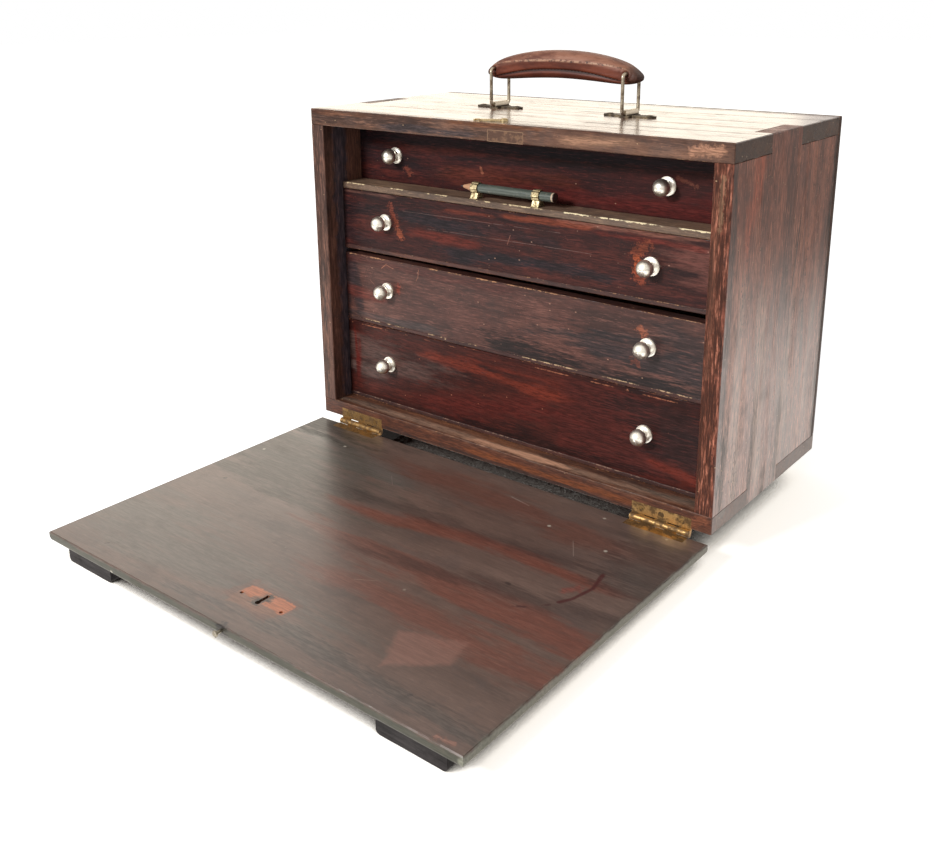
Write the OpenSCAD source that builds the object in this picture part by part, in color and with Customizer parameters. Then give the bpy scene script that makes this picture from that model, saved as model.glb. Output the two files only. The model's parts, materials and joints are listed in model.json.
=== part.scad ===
// Engineer's tool chest: a combed wooden case with four drawers, a fall front that
// hinges down on two brass butts, and a leather handle on two wire rings.
// X runs to the right, Y to the back and Z up. The chest stands on Z = 0 with its fall
// front open, and the origin is the middle of the ground that it covers.

/* [Case] */
// Width of the case and of the fall front
case_w = 400; // [350:1:460]
// Depth of the case, back panel included
case_d = 194; // [175:1:230]
// Height of the case without its feet
case_h = 285; // [278:1:320]
// Thickness of the two side boards
side_t = 14.4; // [10:0.1:18]
// Thickness of the top board
top_t = 14.2; // [10:0.1:18]
// Thickness of the bottom board
bottom_t = 14.2; // [11:0.1:18]
// Thickness of the back panel
back_t = 5.5; // [4:0.1:8]
// Length of the front finger of each combed corner
finger_front = 60; // [40:1:70]
// Width of the middle finger of each side board
finger_mid = 54; // [30:1:70]

/* [Feet] */
// Width of each foot batten under the case
foot_w = 30; // [20:1:50]
// Distance from the side of the case to its foot batten
foot_inset = 32; // [25:1:60]
// Distance that the battens stay back from the front and the rear edge
foot_setback = 14; // [5:1:30]
// Radius of the rounded lower ends of the battens and blocks
foot_round = 3.5; // [1:0.1:6]

/* [Fall front] */
// Thickness of the fall front
lid_t = 8; // [6:0.1:12]
// How far the closed fall front stops short of the top of the case
lid_short = 2; // [0.5:0.1:5]
// Radius of the rounded outer edges of the fall front
lid_round = 3; // [1:0.1:4]
// Length of each block on the outside of the fall front
block_l = 53; // [30:1:80]
// Width of each block
block_w = 20; // [12:1:40]
// Thickness of each block
block_t = 10; // [6:0.1:16]
// Distance from the left end of the fall front to its block
block_in_left = 22; // [10:0.5:40]
// Distance from the right end of the fall front to its block
block_in_right = 12.5; // [8:0.5:40]
// Distance from the free edge of the fall front to the blocks
block_setback = 2; // [0.5:0.5:10]
// Distance from the free edge to the middle of the keyhole
keyhole_in = 36; // [25:0.5:60]
// Length of the keyhole, round end included
keyhole_l = 12; // [9:0.5:16]
// Radius of the round end of the keyhole
keyhole_r = 2; // [1.5:0.1:2]
// Width of the straight part of the keyhole
keyhole_slot = 2.6; // [1.6:0.1:3]
// Distance between the two empty screw holes of the missing lock
lock_screws = 39; // [25:0.5:60]

/* [Hinges] */
// Length of each butt hinge
hinge_l = 50; // [35:1:70]
// Width of a leaf, from the pin's axis to its edge
leaf_w = 12; // [9:0.1:13]
// Thickness of a leaf
leaf_t = 1.2; // [0.8:0.1:1.3]
// Outer radius of the hinge barrel
barrel_r = 2.7; // [2.4:0.1:3.2]
// How far the barrel lies below the underside of the case
barrel_drop = 0.8; // [0.4:0.1:1.5]
// Radius of the hinge pin
pin_r = 1.3; // [0.9:0.05:1.5]
// Distance from the left side of the case to the left hinge
hinge_in_left = 23; // [12:0.5:50]
// Distance from the right side of the case to the right hinge
hinge_in_right = 16; // [12:0.5:50]

/* [Drawers] */
// Distance from the front of the case to the drawer fronts
recess = 20.5; // [20:0.5:26]
// Height of the lowest drawer, bottom board included
drawer_4_h = 75.2; // [60:0.1:80]
// Height of the third drawer at its left end
drawer_3_h = 63.7; // [50:0.1:68]
// Height of the second drawer at its left end
drawer_2_h = 54.7; // [44:0.1:62]
// How much lower the third drawer's top edge is at its right end
worn_drop = 2; // [0:0.1:3]
// How much higher the second drawer's underside is at its right end
skew_rise = 0.5; // [0:0.1:4]
// Gap between the second and the third drawer at the left end
wedge_gap = 4.3; // [0.5:0.1:6]
// Thickness of a drawer front
front_t = 12; // [10:0.1:15]
// Wood left in front of the drawer sides, where they lap into the front
front_lap = 6; // [3:0.1:8]
// Thickness of a drawer side
drawer_side_t = 9; // [8:0.1:12]
// Thickness of a drawer back
drawer_back_t = 8; // [5:0.1:12]
// Thickness of the boards nailed on under drawers two to four
drawer_floor_t = 3.5; // [2.5:0.1:5]
// Thickness of the top drawer's floor, which runs forward as a tray
tray_t = 5.5; // [3:0.1:7]
// Depth of the tray in front of the top drawer
tray_d = 24.5; // [20:0.5:40]
// How much lower the sides and back are than the drawer front
side_drop = 5; // [2:0.5:8]
// Height of a drawer runner
runner_h = 8; // [5:0.1:12]
// How far a runner stands out from the side board
runner_t = 5; // [3:0.1:6]

/* [Knobs] */
// Distance between the two knobs of drawers two to four
knob_span = 264; // [180:1:300]
// How far those knobs sit to the right of the middle, or to the left below 0
knob_shift = -1; // [-8:0.5:8]
// How far the knobs of drawers three and four sit above the middle of the front
knob_lift = 1.5; // [0:0.1:4]
// How far the knobs of drawer two sit above the middle of the front
second_knob_lift = 0.5; // [0:0.1:4]
// How far the knobs of the top drawer sit below the middle of the front
top_knob_drop = 1.4; // [0:0.1:4]
// Distance between the two knobs of the top drawer
top_knob_span = 269; // [180:1:300]
// How far the knobs of the top drawer sit to the right of the middle, or to the left below 0
top_knob_shift = -6; // [-10:0.5:10]
// Radius of a knob's ball
knob_ball_r = 6.6; // [4.5:0.1:6.8]
// Radius of a knob's flange
knob_flange_r = 7.2; // [6:0.1:9]
// Radius of a knob's neck
knob_neck_r = 3.4; // [2.6:0.1:4]
// How far a knob stands out from the drawer front
knob_out = 16.2; // [14:0.1:19.6]

/* [Handle] */
// Distance between the two wire rings
ring_span = 129; // [100:1:160]
// Height of a ring, between the middles of its two bars
ring_h = 30.5; // [26:0.5:36]
// Distance from the middle of a ring to the middle of its legs
ring_half = 12.6; // [12.2:0.1:16]
// Radius of the ring wire
wire_r = 1.4; // [1:0.05:1.6]
// Radius of a ring's bent corners
ring_bend = 2.8; // [2.5:0.1:4]
// Length of the leather grip
grip_l = 146; // [145:1:190]
// Height of the grip at its middle
grip_h = 22.5; // [14:0.5:24]
// Width of the grip at its middle
grip_w = 22.6; // [16:0.1:22.8]
// How far the grip's ends hang below its middle
grip_arch = 8.4; // [5:0.1:12]
// Length of a handle plate
plate_l = 46.5; // [40:0.5:60]
// Width of the plate's two ears
plate_w = 10; // [8:0.1:14]
// Thickness of a handle plate
plate_t = 1.4; // [0.8:0.1:1.5]

/* [Fittings] */
// Length of the strike plate
strike_l = 34; // [24:0.5:45]
// Width of the strike plate
strike_w = 9; // [6:0.1:9.5]
// How far the strike plate sits to the right of the middle
strike_x = 12.7; // [0:0.1:30]
// How far the hook and its stud sit to the right of the middle
hook_x = 1.5; // [-20:0.5:20]
// Distance from the front of the case to the hook's pivot
hook_in = 14; // [9:0.5:20]
// Width of the hook's bar
hook_w = 3.2; // [2:0.1:4]
// Thickness of the hook
hook_t = 1.5; // [1:0.1:2.5]
// Angle by which the open hook lies to the left of straight ahead
hook_swing = 63; // [45:1:90]
// Radius of the stud that the hook catches
stud_r = 1.2; // [0.8:0.1:1.6]

/* [Pencil] */
// Radius of the pencil
pencil_r = 3.75; // [3:0.05:4.5]
// Length of the pencil, point included
pencil_l = 94; // [80:1:120]
// Length of the pencil's sharpened point
pencil_point = 12; // [8:0.5:18]
// Radius of the pencil's lead
lead_r = 1.1; // [0.8:0.1:1.6]
// How far the middle of the pencil sits to the left of the middle
pencil_x = -5.5; // [-30:0.5:30]
// Height of the pencil's axis above the tray
pencil_lift = 8.6; // [8:0.1:12]
// Distance from the tray's front edge to the pencil's axis
pencil_in = 6.5; // [6.2:0.1:13]
// Distance between the two spring clips
clip_span = 61; // [40:1:66]
// Width of a spring clip
clip_w = 6.5; // [4:0.1:10]
// Thickness of the clip's sheet brass
clip_t = 0.5; // [0.4:0.05:0.7]

/* [Fits] */
// Gap between a drawer and the side boards
side_gap = 0.8; // [0.5:0.1:1.5]
// Gap over a runner, and under the lowest drawer
run_gap = 0.3; // [0.2:0.05:0.5]
// Gap between stacked drawers, and over the top one
stack_gap = 0.5; // [0.3:0.1:1]
// Gap between the drawers' backs and the back panel
rear_gap = 0.9; // [0.3:0.1:2]
// Radial gap of a pin or wire that turns in its bore
pin_gap = 0.07; // [0.02:0.01:0.1]
// Radial gap where the right ring passes through the grip
loose_gap = 0.3; // [0.15:0.05:0.5]
// Gap between the ends of neighbouring hinge knuckles
knuckle_gap = 0.2; // [0.1:0.05:0.4]
// Radial gap round screws and studs in their holes
screw_gap = 0.05; // [0.02:0.01:0.1]

/* [Hidden] */
$fn = 48;

// Over-length of a cutting shape, so that it passes through what it cuts
cut = 1;

// Hinge axis, measured from the case's lower front edge
hinge_y = -(barrel_r - leaf_t);
hinge_z = -(barrel_r + barrel_drop);
knuckles = 5;
knuckle_clear = 0.3;
// The open fall front: height of its inner face, and its two long edges
front_drop = -(hinge_z - (barrel_r - leaf_t));
front_root_y = hinge_y - barrel_r - knuckle_clear;
front_closed_z = hinge_z + hinge_y - front_root_y;
front_l = case_h - lid_short - front_closed_z;
front_free_y = front_root_y - front_l;

// The hook lies on the top board and reaches the stud of the closed fall front
stud_closed_y = hinge_y - (barrel_r - leaf_t) - lid_t / 2;
hook_reach = hook_in - stud_closed_y;
hook_seat = 0.2;
stud_head_r = 2.2;
stud_head_t = 1.2;
stud_play = 0.5;
stud_out = lid_short + hook_seat + hook_t + stud_play + stud_head_t;

// Ground height of the case, and the place of its front face in the part's own frame
case_z = front_drop + lid_t + block_t;
case_y = (stud_out - front_free_y - case_d) / 2;

// Inside of the case
inner_x = case_w / 2 - side_t;
inner_back = case_d - back_t;
finger_back = finger_front + finger_mid;

// Drawers, counted from the top: left underside, right underside, left top, right top
drawer_x = inner_x - side_gap;
z4 = bottom_t + run_gap;
z3 = z4 + drawer_4_h + stack_gap;
z2 = z3 + drawer_3_h + wedge_gap;
z1 = z2 + drawer_2_h + stack_gap;
top_of_1 = case_h - top_t - stack_gap;
low_left = [z1, z2, z3, z4];
low_right = [z1, z2 + skew_rise, z3, z4];
high_left = [top_of_1, z1 - stack_gap, z3 + drawer_3_h, z4 + drawer_4_h];
high_right = [top_of_1, z1 - stack_gap, z3 + drawer_3_h - worn_drop, z4 + drawer_4_h];
floor_t = [tray_t, drawer_floor_t, drawer_floor_t, drawer_floor_t];
front_y = [recess + tray_d, recess, recess, recess];
drawer_back_y = inner_back - rear_gap;
knob_mid = [top_knob_shift, knob_shift, knob_shift, knob_shift];
knob_apart = [top_knob_span, knob_span, knob_span, knob_span];
knob_up = [-top_knob_drop, second_knob_lift, knob_lift, knob_lift];
knob_screw_r = 1.5;
// Distance from the back of a drawer front to the front end of its runners
runner_stop = 1.5;

// Handle: rings stand up from the plates on the middle of the top board
handle_y = case_d / 2;
saddle_wall = 1.25;
saddle_rise = 0.3;
saddle_end_gap = 0.4;
plate_screw_in = 5.5;
saddle_r = wire_r + pin_gap + saddle_wall;
ring_low = saddle_r + saddle_rise;
saddle_l = 2 * (ring_half - ring_bend - saddle_end_gap);
plate_screw_x = plate_l / 2 - plate_screw_in;
grip_rise = 5.3;

function drawer_mid_z(i) = (low_left[i] + floor_t[i] + high_left[i]) / 2;
function runner_z(i) = drawer_mid_z(i) - runner_h / 2;
function knob_z(i) = drawer_mid_z(i) + knob_up[i];
function hinge_x(left) = left ? -case_w / 2 + hinge_in_left + hinge_l / 2
                              : case_w / 2 - hinge_in_right - hinge_l / 2;

module at_case() translate([0, case_y, case_z]) children();

// A board in the X-Z plane with its outline given, from one depth to another
module upright(y_front, y_rear, outline)
    translate([0, y_rear, 0])
        rotate([90, 0, 0])
            linear_extrude(y_rear - y_front)
                polygon(outline);

module span(x_low, x_high, y_low, y_high, z_low, z_high)
    translate([x_low, y_low, z_low])
        cube([x_high - x_low, y_high - y_low, z_high - z_low]);

module rod_y(x, y_low, y_high, z, r)
    translate([x, y_high, z])
        rotate([90, 0, 0])
            cylinder(h = y_high - y_low, r = r);

module rod_x(x_low, x_high, y, z, r)
    translate([x_low, y, z])
        rotate([0, 90, 0])
            cylinder(h = x_high - x_low, r = r);

module rod_z(x, y, z_low, z_high, r)
    translate([x, y, z_low])
        cylinder(h = z_high - z_low, r = r);

module both_sides() {
    children();
    mirror([1, 0, 0]) children();
}

// Wood screw with a flush countersunk head; it points down the Z axis from Z = 0
screw_r = 1.3;
screw_head_r = 2.5;
screw_head_t = 1.3;
screw_l = 9;
screw_tip = 2;
lid_skin = 1.5;
short_screw_l = lid_t - lid_skin;
strike_screw_in = 4;
module flush_screw(length = screw_l)
    rotate_extrude()
        polygon([
            [0, 0], [screw_head_r, 0], [screw_r, -screw_head_t],
            [screw_r, -length + screw_tip], [0, -length]
        ]);
module flush_hole(length = screw_l) {
    translate([0, 0, -screw_head_t])
        cylinder(h = screw_head_t, r1 = screw_r + screw_gap, r2 = screw_head_r + screw_gap);
    translate([0, 0, -length - screw_gap])
        cylinder(h = length, r = screw_r + screw_gap);
    cylinder(h = cut, r = screw_head_r + screw_gap);
}

// Wood screw with a domed head that stands on the surface
dome_r = 3.3;
dome_h = 0.9;
module dome_screw()
    rotate_extrude()
        polygon(concat(
            [[0, -screw_l], [screw_r, -screw_l + screw_tip], [screw_r, 0]],
            [for (a = [0 : 15 : 90]) [dome_r * cos(a), dome_h * sin(a)]]
        ));

// Places of the three screws of a hinge leaf, on the case and on the fall front
leaf_screw_step = hinge_l * 0.34;
leaf_screw_in = 4.6;
module leaf_places(left)
    for (k = [-1 : 1])
        translate([hinge_x(left) + k * leaf_screw_step, 0, 0]) children();
module case_leaf_screws(left)
    leaf_places(left)
        translate([0, 0, hinge_z + leaf_w - leaf_screw_in])
            rotate([90, 0, 0]) children();
module front_leaf_screws(left)
    leaf_places(left)
        translate([0, hinge_y - leaf_w + leaf_screw_in, -front_drop])
            children();
module plate_screws()
    for (s = [-1, 1], e = [-1, 1])
        translate([s * ring_span / 2 + e * plate_screw_x, handle_y, case_h + plate_t])
            children();
module strike_screw_places()
    for (e = [-1, 1])
        translate([strike_x + e * (strike_l / 2 - strike_screw_in), 0,
                   case_h - top_t + strike_w / 2])
            rotate([90, 0, 0]) children();

// Case

module top_board() color("#6b4636") at_case() difference() {
    span(-case_w / 2, case_w / 2, 0, inner_back, case_h - top_t, case_h);
    both_sides()
        span(inner_x, case_w, finger_front, finger_back, 0, case_h + cut);
    span(strike_x - strike_l / 2, strike_x + strike_l / 2, -cut, leaf_t,
         0, case_h - top_t + strike_w);
    strike_screw_places() flush_hole();
    plate_screws() translate([0, 0, -plate_t - screw_l])
        cylinder(h = screw_l + cut, r = screw_r + screw_gap);
    rod_z(hook_x, hook_in, case_h - hook_screw_l, case_h + cut, hook_screw_r + screw_gap);
}

module bottom_board() color("#5a3527") at_case() difference() {
    span(-case_w / 2, case_w / 2, 0, case_d, 0, bottom_t);
    both_sides()
        span(inner_x, case_w, finger_front, finger_back, -cut, case_h);
    for (left = [true, false]) {
        span(hinge_x(left) - hinge_l / 2, hinge_x(left) + hinge_l / 2, -cut, leaf_t,
             -cut, hinge_z + leaf_w);
        case_leaf_screws(left) flush_hole();
    }
}

module side_board() {
    span(inner_x, case_w / 2, 0, inner_back, bottom_t, case_h - top_t);
    span(inner_x, case_w / 2, finger_front, finger_back, 0, bottom_t);
    span(inner_x, case_w / 2, finger_front, finger_back, case_h - top_t, case_h);
}

module left_side() color("#5f3d31") at_case() mirror([1, 0, 0]) side_board();
module right_side() color("#6d4a3d") at_case() side_board();

module back_panel() color("#4b3129") at_case()
    span(-case_w / 2, case_w / 2, inner_back, case_d, bottom_t, case_h);

// Outline of a block or batten whose two lower corners are rounded
module rounded_foot(length, height) difference() {
    square([length, height]);
    for (e = [0, 1])
        translate([e * length, 0]) mirror([e, 0]) difference() {
            translate([-cut, -cut]) square(foot_round + cut);
            translate([foot_round, foot_round]) circle(foot_round);
        }
}

module case_feet() color("#3a2620") at_case() both_sides()
    translate([case_w / 2 - foot_inset - foot_w, foot_setback, -case_z])
        rotate([90, 0, 90])
            linear_extrude(foot_w)
                rounded_foot(case_d - 2 * foot_setback, case_z);

module drawer_runners() color("#7a5236") at_case() both_sides()
    for (i = [0 : 2])
        span(inner_x - runner_t, inner_x,
             front_y[i] + front_t + runner_stop, inner_back,
             runner_z(i), runner_z(i) + runner_h);

module strike_plate() color("#8c7d5c") at_case() difference() {
    span(strike_x - strike_l / 2, strike_x + strike_l / 2, 0, leaf_t,
         case_h - top_t, case_h - top_t + strike_w);
    strike_screw_places() flush_hole();
}
module strike_screws() color("#6f6552") at_case() strike_screw_places() flush_screw();

// Fall front, drawn open
lock_screw_drop = 2.5;

module fall_front() color("#4d342b") at_case() difference() {
    translate([-case_w / 2, 0, 0])
        rotate([90, 0, 90])
            linear_extrude(case_w)
                front_section();
    for (left = [true, false]) {
        span(hinge_x(left) - hinge_l / 2, hinge_x(left) + hinge_l / 2,
             hinge_y - leaf_w, front_root_y + cut,
             -front_drop - leaf_t, -front_drop + cut);
        front_leaf_screws(left) flush_hole(short_screw_l);
    }
    translate([0, front_free_y + keyhole_in, -front_drop - lid_t - cut])
        linear_extrude(lid_t + 2 * cut)
            keyhole_outline();
    for (e = [-1, 1])
        rod_z(e * lock_screws / 2 + hook_x, front_free_y + keyhole_in - lock_screw_drop,
              -front_drop - lid_t / 2, -front_drop + cut, screw_r);
    rod_y(hook_x, front_free_y - cut, front_free_y + screw_l,
          -front_drop - lid_t / 2, stud_r + screw_gap);
    front_ends();
}
// Cross-section of the panel in Y-Z with its two outer long edges rounded
module front_section() difference() {
    translate([front_free_y, -front_drop - lid_t]) square([front_l, lid_t]);
    translate([front_free_y, -front_drop - lid_t]) corner_waste();
    translate([front_root_y, -front_drop - lid_t]) mirror([1, 0]) corner_waste();
}
module corner_waste() difference() {
    translate([-cut, -cut]) square(lid_round + cut);
    translate([lid_round, lid_round]) circle(lid_round);
}
// What the rounding of the two ends takes away from the panel
module front_ends() both_sides()
    translate([case_w / 2, front_root_y + cut, -front_drop - lid_t])
        rotate([90, 0, 0])
            linear_extrude(front_l + 2 * cut)
                mirror([1, 0]) corner_waste();
module keyhole_outline() {
    translate([0, -keyhole_l / 2 + keyhole_r]) circle(keyhole_r);
    translate([-keyhole_slot / 2, -keyhole_l / 2 + keyhole_r])
        square([keyhole_slot, keyhole_l - keyhole_r]);
}

module front_block(x_low)
    translate([x_low, front_free_y + block_setback + block_w, -case_z])
        rotate([90, 0, 0])
            linear_extrude(block_w)
                rounded_foot(block_l, block_t);
module front_blocks() color("#33241f") at_case() {
    front_block(-case_w / 2 + block_in_left);
    front_block(case_w / 2 - block_in_right - block_l);
}

// Butt hinges: the leaves lie flush, each tangent to the barrel

knuckle_l = hinge_l / knuckles;
module knuckle_row(left, first)
    for (k = [first : 2 : knuckles - 1])
        translate([hinge_x(left) - hinge_l / 2 + k * knuckle_l, 0, 0])
            children();
module knuckle()
    rod_x(knuckle_gap / 2, knuckle_l - knuckle_gap / 2, hinge_y, hinge_z, barrel_r);
module pin_bore(left)
    rod_x(hinge_x(left) - hinge_l / 2 - cut, hinge_x(left) + hinge_l / 2 + cut,
          hinge_y, hinge_z, pin_r + pin_gap);

module case_leaf(left) difference() {
    union() {
        span(hinge_x(left) - hinge_l / 2, hinge_x(left) + hinge_l / 2, 0, leaf_t,
             hinge_z + barrel_r + knuckle_clear, hinge_z + leaf_w);
        knuckle_row(left, 0) {
            knuckle();
            span(knuckle_gap / 2, knuckle_l - knuckle_gap / 2, 0, leaf_t,
                 hinge_z, hinge_z + leaf_w / 2);
        }
    }
    pin_bore(left);
    case_leaf_screws(left) flush_hole();
}
module front_leaf(left) difference() {
    union() {
        span(hinge_x(left) - hinge_l / 2, hinge_x(left) + hinge_l / 2,
             hinge_y - leaf_w, front_root_y, -front_drop - leaf_t, -front_drop);
        knuckle_row(left, 1) {
            knuckle();
            span(knuckle_gap / 2, knuckle_l - knuckle_gap / 2, hinge_y - leaf_w / 2, hinge_y,
                 -front_drop - leaf_t, -front_drop);
        }
    }
    pin_bore(left);
    front_leaf_screws(left) flush_hole(short_screw_l);
}
module hinge_leaf_case_left() color("#a1823f") at_case() case_leaf(true);
module hinge_leaf_case_right() color("#a1823f") at_case() case_leaf(false);
module hinge_leaf_front_left() color("#8d7440") at_case() front_leaf(true);
module hinge_leaf_front_right() color("#8d7440") at_case() front_leaf(false);
module hinge_pins() color("#b09553") at_case()
    for (left = [true, false])
        rod_x(hinge_x(left) - hinge_l / 2, hinge_x(left) + hinge_l / 2,
              hinge_y, hinge_z, pin_r);
module hinge_screws_case() color("#8a7a50") at_case()
    for (left = [true, false]) case_leaf_screws(left) flush_screw();
// The screws of the thin fall front stop short of its outer face
module hinge_screws_front() color("#8a7a50") at_case()
    for (left = [true, false]) front_leaf_screws(left) flush_screw(short_screw_l);

// Hook on the top board and its stud in the free edge of the fall front

hook_screw_r = 1.3;
hook_screw_l = 8.5;
hook_head_r = 2.6;
hook_head_h = 0.6;
hook_head_z = 2 * hook_seat + hook_t;
hook_eye_r = 3.2;
hook_nose_r = stud_r + 0.4;
hook_nose_t = 1.6;
module hook_stud() color("#b8b0a0") at_case()
    translate([hook_x, front_free_y, -front_drop - lid_t / 2])
        rotate([90, 0, 0]) {
            translate([0, 0, -screw_l + cut]) cylinder(h = screw_l - cut + stud_out, r = stud_r);
            translate([0, 0, stud_out - stud_head_t]) cylinder(h = stud_head_t, r = stud_head_r);
        }
// The hook points straight ahead here; its mouth opens to the right, where it swings
module top_hook() color("#a78f55") at_case()
    translate([hook_x, hook_in, case_h + hook_seat])
        rotate([0, 0, -hook_swing])
            linear_extrude(hook_t)
                hook_outline();
module hook_outline() {
    difference() {
        union() {
            circle(hook_eye_r);
            translate([-hook_w / 2, -hook_reach]) square([hook_w, hook_reach]);
            translate([0, -hook_reach]) circle(hook_nose_r + hook_nose_t);
        }
        circle(hook_screw_r + pin_gap);
        translate([0, -hook_reach]) circle(hook_nose_r);
        translate([0, -hook_reach - hook_nose_r])
            square([hook_nose_r + hook_nose_t + cut, 2 * hook_nose_r]);
    }
}
module hook_screw() color("#9a8a60") at_case()
    translate([hook_x, hook_in, case_h])
        rotate_extrude()
            polygon(concat(
                [[0, -hook_screw_l], [hook_screw_r, -hook_screw_l + screw_tip],
                 [hook_screw_r, hook_head_z]],
                [for (a = [0 : 15 : 90])
                    [hook_head_r * cos(a), hook_head_z + hook_head_h * sin(a)]]
            ));

// Drawers

function outline_of(i, drop) = [
    [-drawer_x, low_left[i] + floor_t[i]], [drawer_x, low_right[i] + floor_t[i]],
    [drawer_x, high_right[i] - drop], [-drawer_x, high_left[i] - drop]
];
module knob_places(i)
    for (e = [-1, 1])
        translate([knob_mid[i] + e * knob_apart[i] / 2, front_y[i], knob_z(i)])
            rotate([90, 0, 0]) children();

module drawer_front(i) color(i == 0 ? "#3d1d1b" : "#541f19") at_case() difference() {
    upright(front_y[i], front_y[i] + front_t, outline_of(i, 0));
    both_sides()
        span(drawer_x - drawer_side_t, drawer_x + cut,
             front_y[i] + front_lap, front_y[i] + front_t + cut, 0, case_h);
    knob_places(i) translate([0, 0, -front_t - cut])
        cylinder(h = front_t + 2 * cut, r = knob_screw_r + screw_gap);
}
module drawer_sides(i) color("#7b5a3c") at_case() difference() {
    upright(front_y[i] + front_lap, drawer_back_y, outline_of(i, side_drop));
    span(-drawer_x + drawer_side_t, drawer_x - drawer_side_t, 0, case_d, 0, case_h);
    if (i < 3) both_sides()
        span(inner_x - runner_t - run_gap, case_w,
             front_y[i] + front_t + runner_stop - run_gap, case_d,
             runner_z(i) - run_gap, runner_z(i) + runner_h + run_gap);
}
module drawer_back(i) color("#7b5a3c") at_case() intersection() {
    upright(drawer_back_y - drawer_back_t, drawer_back_y, outline_of(i, side_drop));
    span(-drawer_x + drawer_side_t, drawer_x - drawer_side_t, 0, case_d, 0, case_h);
}
module drawer_floor(i) color("#6e4f38") at_case()
    upright(recess, drawer_back_y, [
        [-drawer_x, low_left[i]], [drawer_x, low_right[i]],
        [drawer_x, low_right[i] + floor_t[i]], [-drawer_x, low_left[i] + floor_t[i]]
    ]);

// Turned knob: flange with a hollow cove, narrow neck, and a ball with a small pit
flange_edge = 1.3;
cove_h = 2.6;
knob_thread = 8;
knob_thread_play = 0.5;
knob_pit_r = 0.8;
knob_pit = 1;
knob_screw_head_r = 3;
knob_screw_head_h = 1.8;
function knob_profile() = concat(
    [[0, 0], [knob_flange_r, 0]],
    [for (a = [0 : 15 : 90]) [
        knob_neck_r + (knob_flange_r - knob_neck_r) * (1 - sin(a)),
        flange_edge + cove_h * (1 - cos(a))
    ]],
    [[0, flange_edge + cove_h]]
);
module knob_shape() difference() {
    rotate_extrude() {
        polygon(knob_profile());
        translate([0, flange_edge]) square([knob_neck_r, knob_out - knob_ball_r - flange_edge]);
        translate([0, knob_out - knob_ball_r]) intersection() {
            circle(knob_ball_r);
            translate([0, -knob_ball_r]) square([knob_ball_r, 2 * knob_ball_r]);
        }
    }
    translate([0, 0, -cut]) cylinder(h = knob_thread + cut, r = knob_screw_r + screw_gap);
    translate([0, 0, knob_out - knob_pit]) cylinder(h = knob_pit + cut, r = knob_pit_r);
}
module drawer_knobs(i) color("#c9c4b8") at_case() knob_places(i) knob_shape();
module drawer_knob_screws(i) color("#8f8b84") at_case() knob_places(i) {
    translate([0, 0, -front_t])
        cylinder(h = front_t + knob_thread - knob_thread_play, r = knob_screw_r);
    translate([0, 0, -front_t]) mirror([0, 0, 1]) rotate_extrude()
        polygon(concat([[0, 0]], [for (a = [0 : 15 : 90])
            [knob_screw_head_r * cos(a), knob_screw_head_h * sin(a)]]));
}

// Pencil in two spring clips on the tray of the top drawer

tray_top = low_left[0] + tray_t;
pencil_y = recess + pencil_in;
pencil_z = tray_top + pencil_lift;
clip_gap = 0.25;
clip_bore = pencil_r + clip_gap;
clip_crimp = 0.5;
clip_foot_y = clip_bore + 1.6;
clip_heel_y = clip_bore + 0.2;
clip_waist = 237;
// Path of the clip's sheet: front foot, waist, crimped bow over the pencil, rear foot
function bow_point(a) =
    let (r = clip_bore + clip_t / 2 + clip_crimp * (1 - cos(10 * (a - 90))) / 2)
    [r * cos(a), r * sin(a)];
clip_base_z = clip_t / 2 - pencil_lift;
clip_path = concat(
    [[-clip_foot_y, clip_base_z], [-clip_heel_y, clip_base_z]],
    [for (a = [clip_waist : -4.5 : 180 - clip_waist]) bow_point(a)],
    [[clip_heel_y, clip_base_z], [clip_foot_y, clip_base_z]]
);
function unit(v) = v / norm(v);
function path_normal(p, k) =
    let (d = unit(p[min(k + 1, len(p) - 1)] - p[max(k - 1, 0)])) [-d[1], d[0]];
function offset_path(p, d) = [for (k = [0 : len(p) - 1]) p[k] + d * path_normal(p, k)];
function reversed(p) = [for (k = [len(p) - 1 : -1 : 0]) p[k]];
module pencil_clips() color("#a39a78") at_case()
    for (e = [-1, 1])
        translate([pencil_x + e * clip_span / 2 - clip_w / 2, pencil_y, pencil_z])
            rotate([90, 0, 90])
                linear_extrude(clip_w)
                    polygon(concat(offset_path(clip_path, clip_t / 2),
                                   reversed(offset_path(clip_path, -clip_t / 2))));

module along_pencil()
    translate([pencil_x - pencil_l / 2, pencil_y, pencil_z])
        rotate([0, 90, 0]) children();
lead_out = 3;
lead_gap = 0.02;
lead_tip_r = 0.3;
cone_wall = 0.1;
cone_step = 0.2;
module pencil_wood() color("#3f4a45") at_case() along_pencil() difference() {
    union() {
        translate([0, 0, pencil_point])
            cylinder(h = pencil_l - pencil_point, r = pencil_r);
        translate([0, 0, lead_out])
            cylinder(h = pencil_point - lead_out,
                     r1 = lead_r + cone_wall, r2 = pencil_r - cone_step);
    }
    cylinder(h = pencil_l + cut, r = lead_r + lead_gap);
}
module pencil_lead() color("#2b2b2e") at_case() along_pencil() {
    cylinder(h = lead_out, r1 = lead_tip_r, r2 = lead_r);
    translate([0, 0, lead_out]) cylinder(h = pencil_l - lead_out, r = lead_r);
}

// Handle

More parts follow.
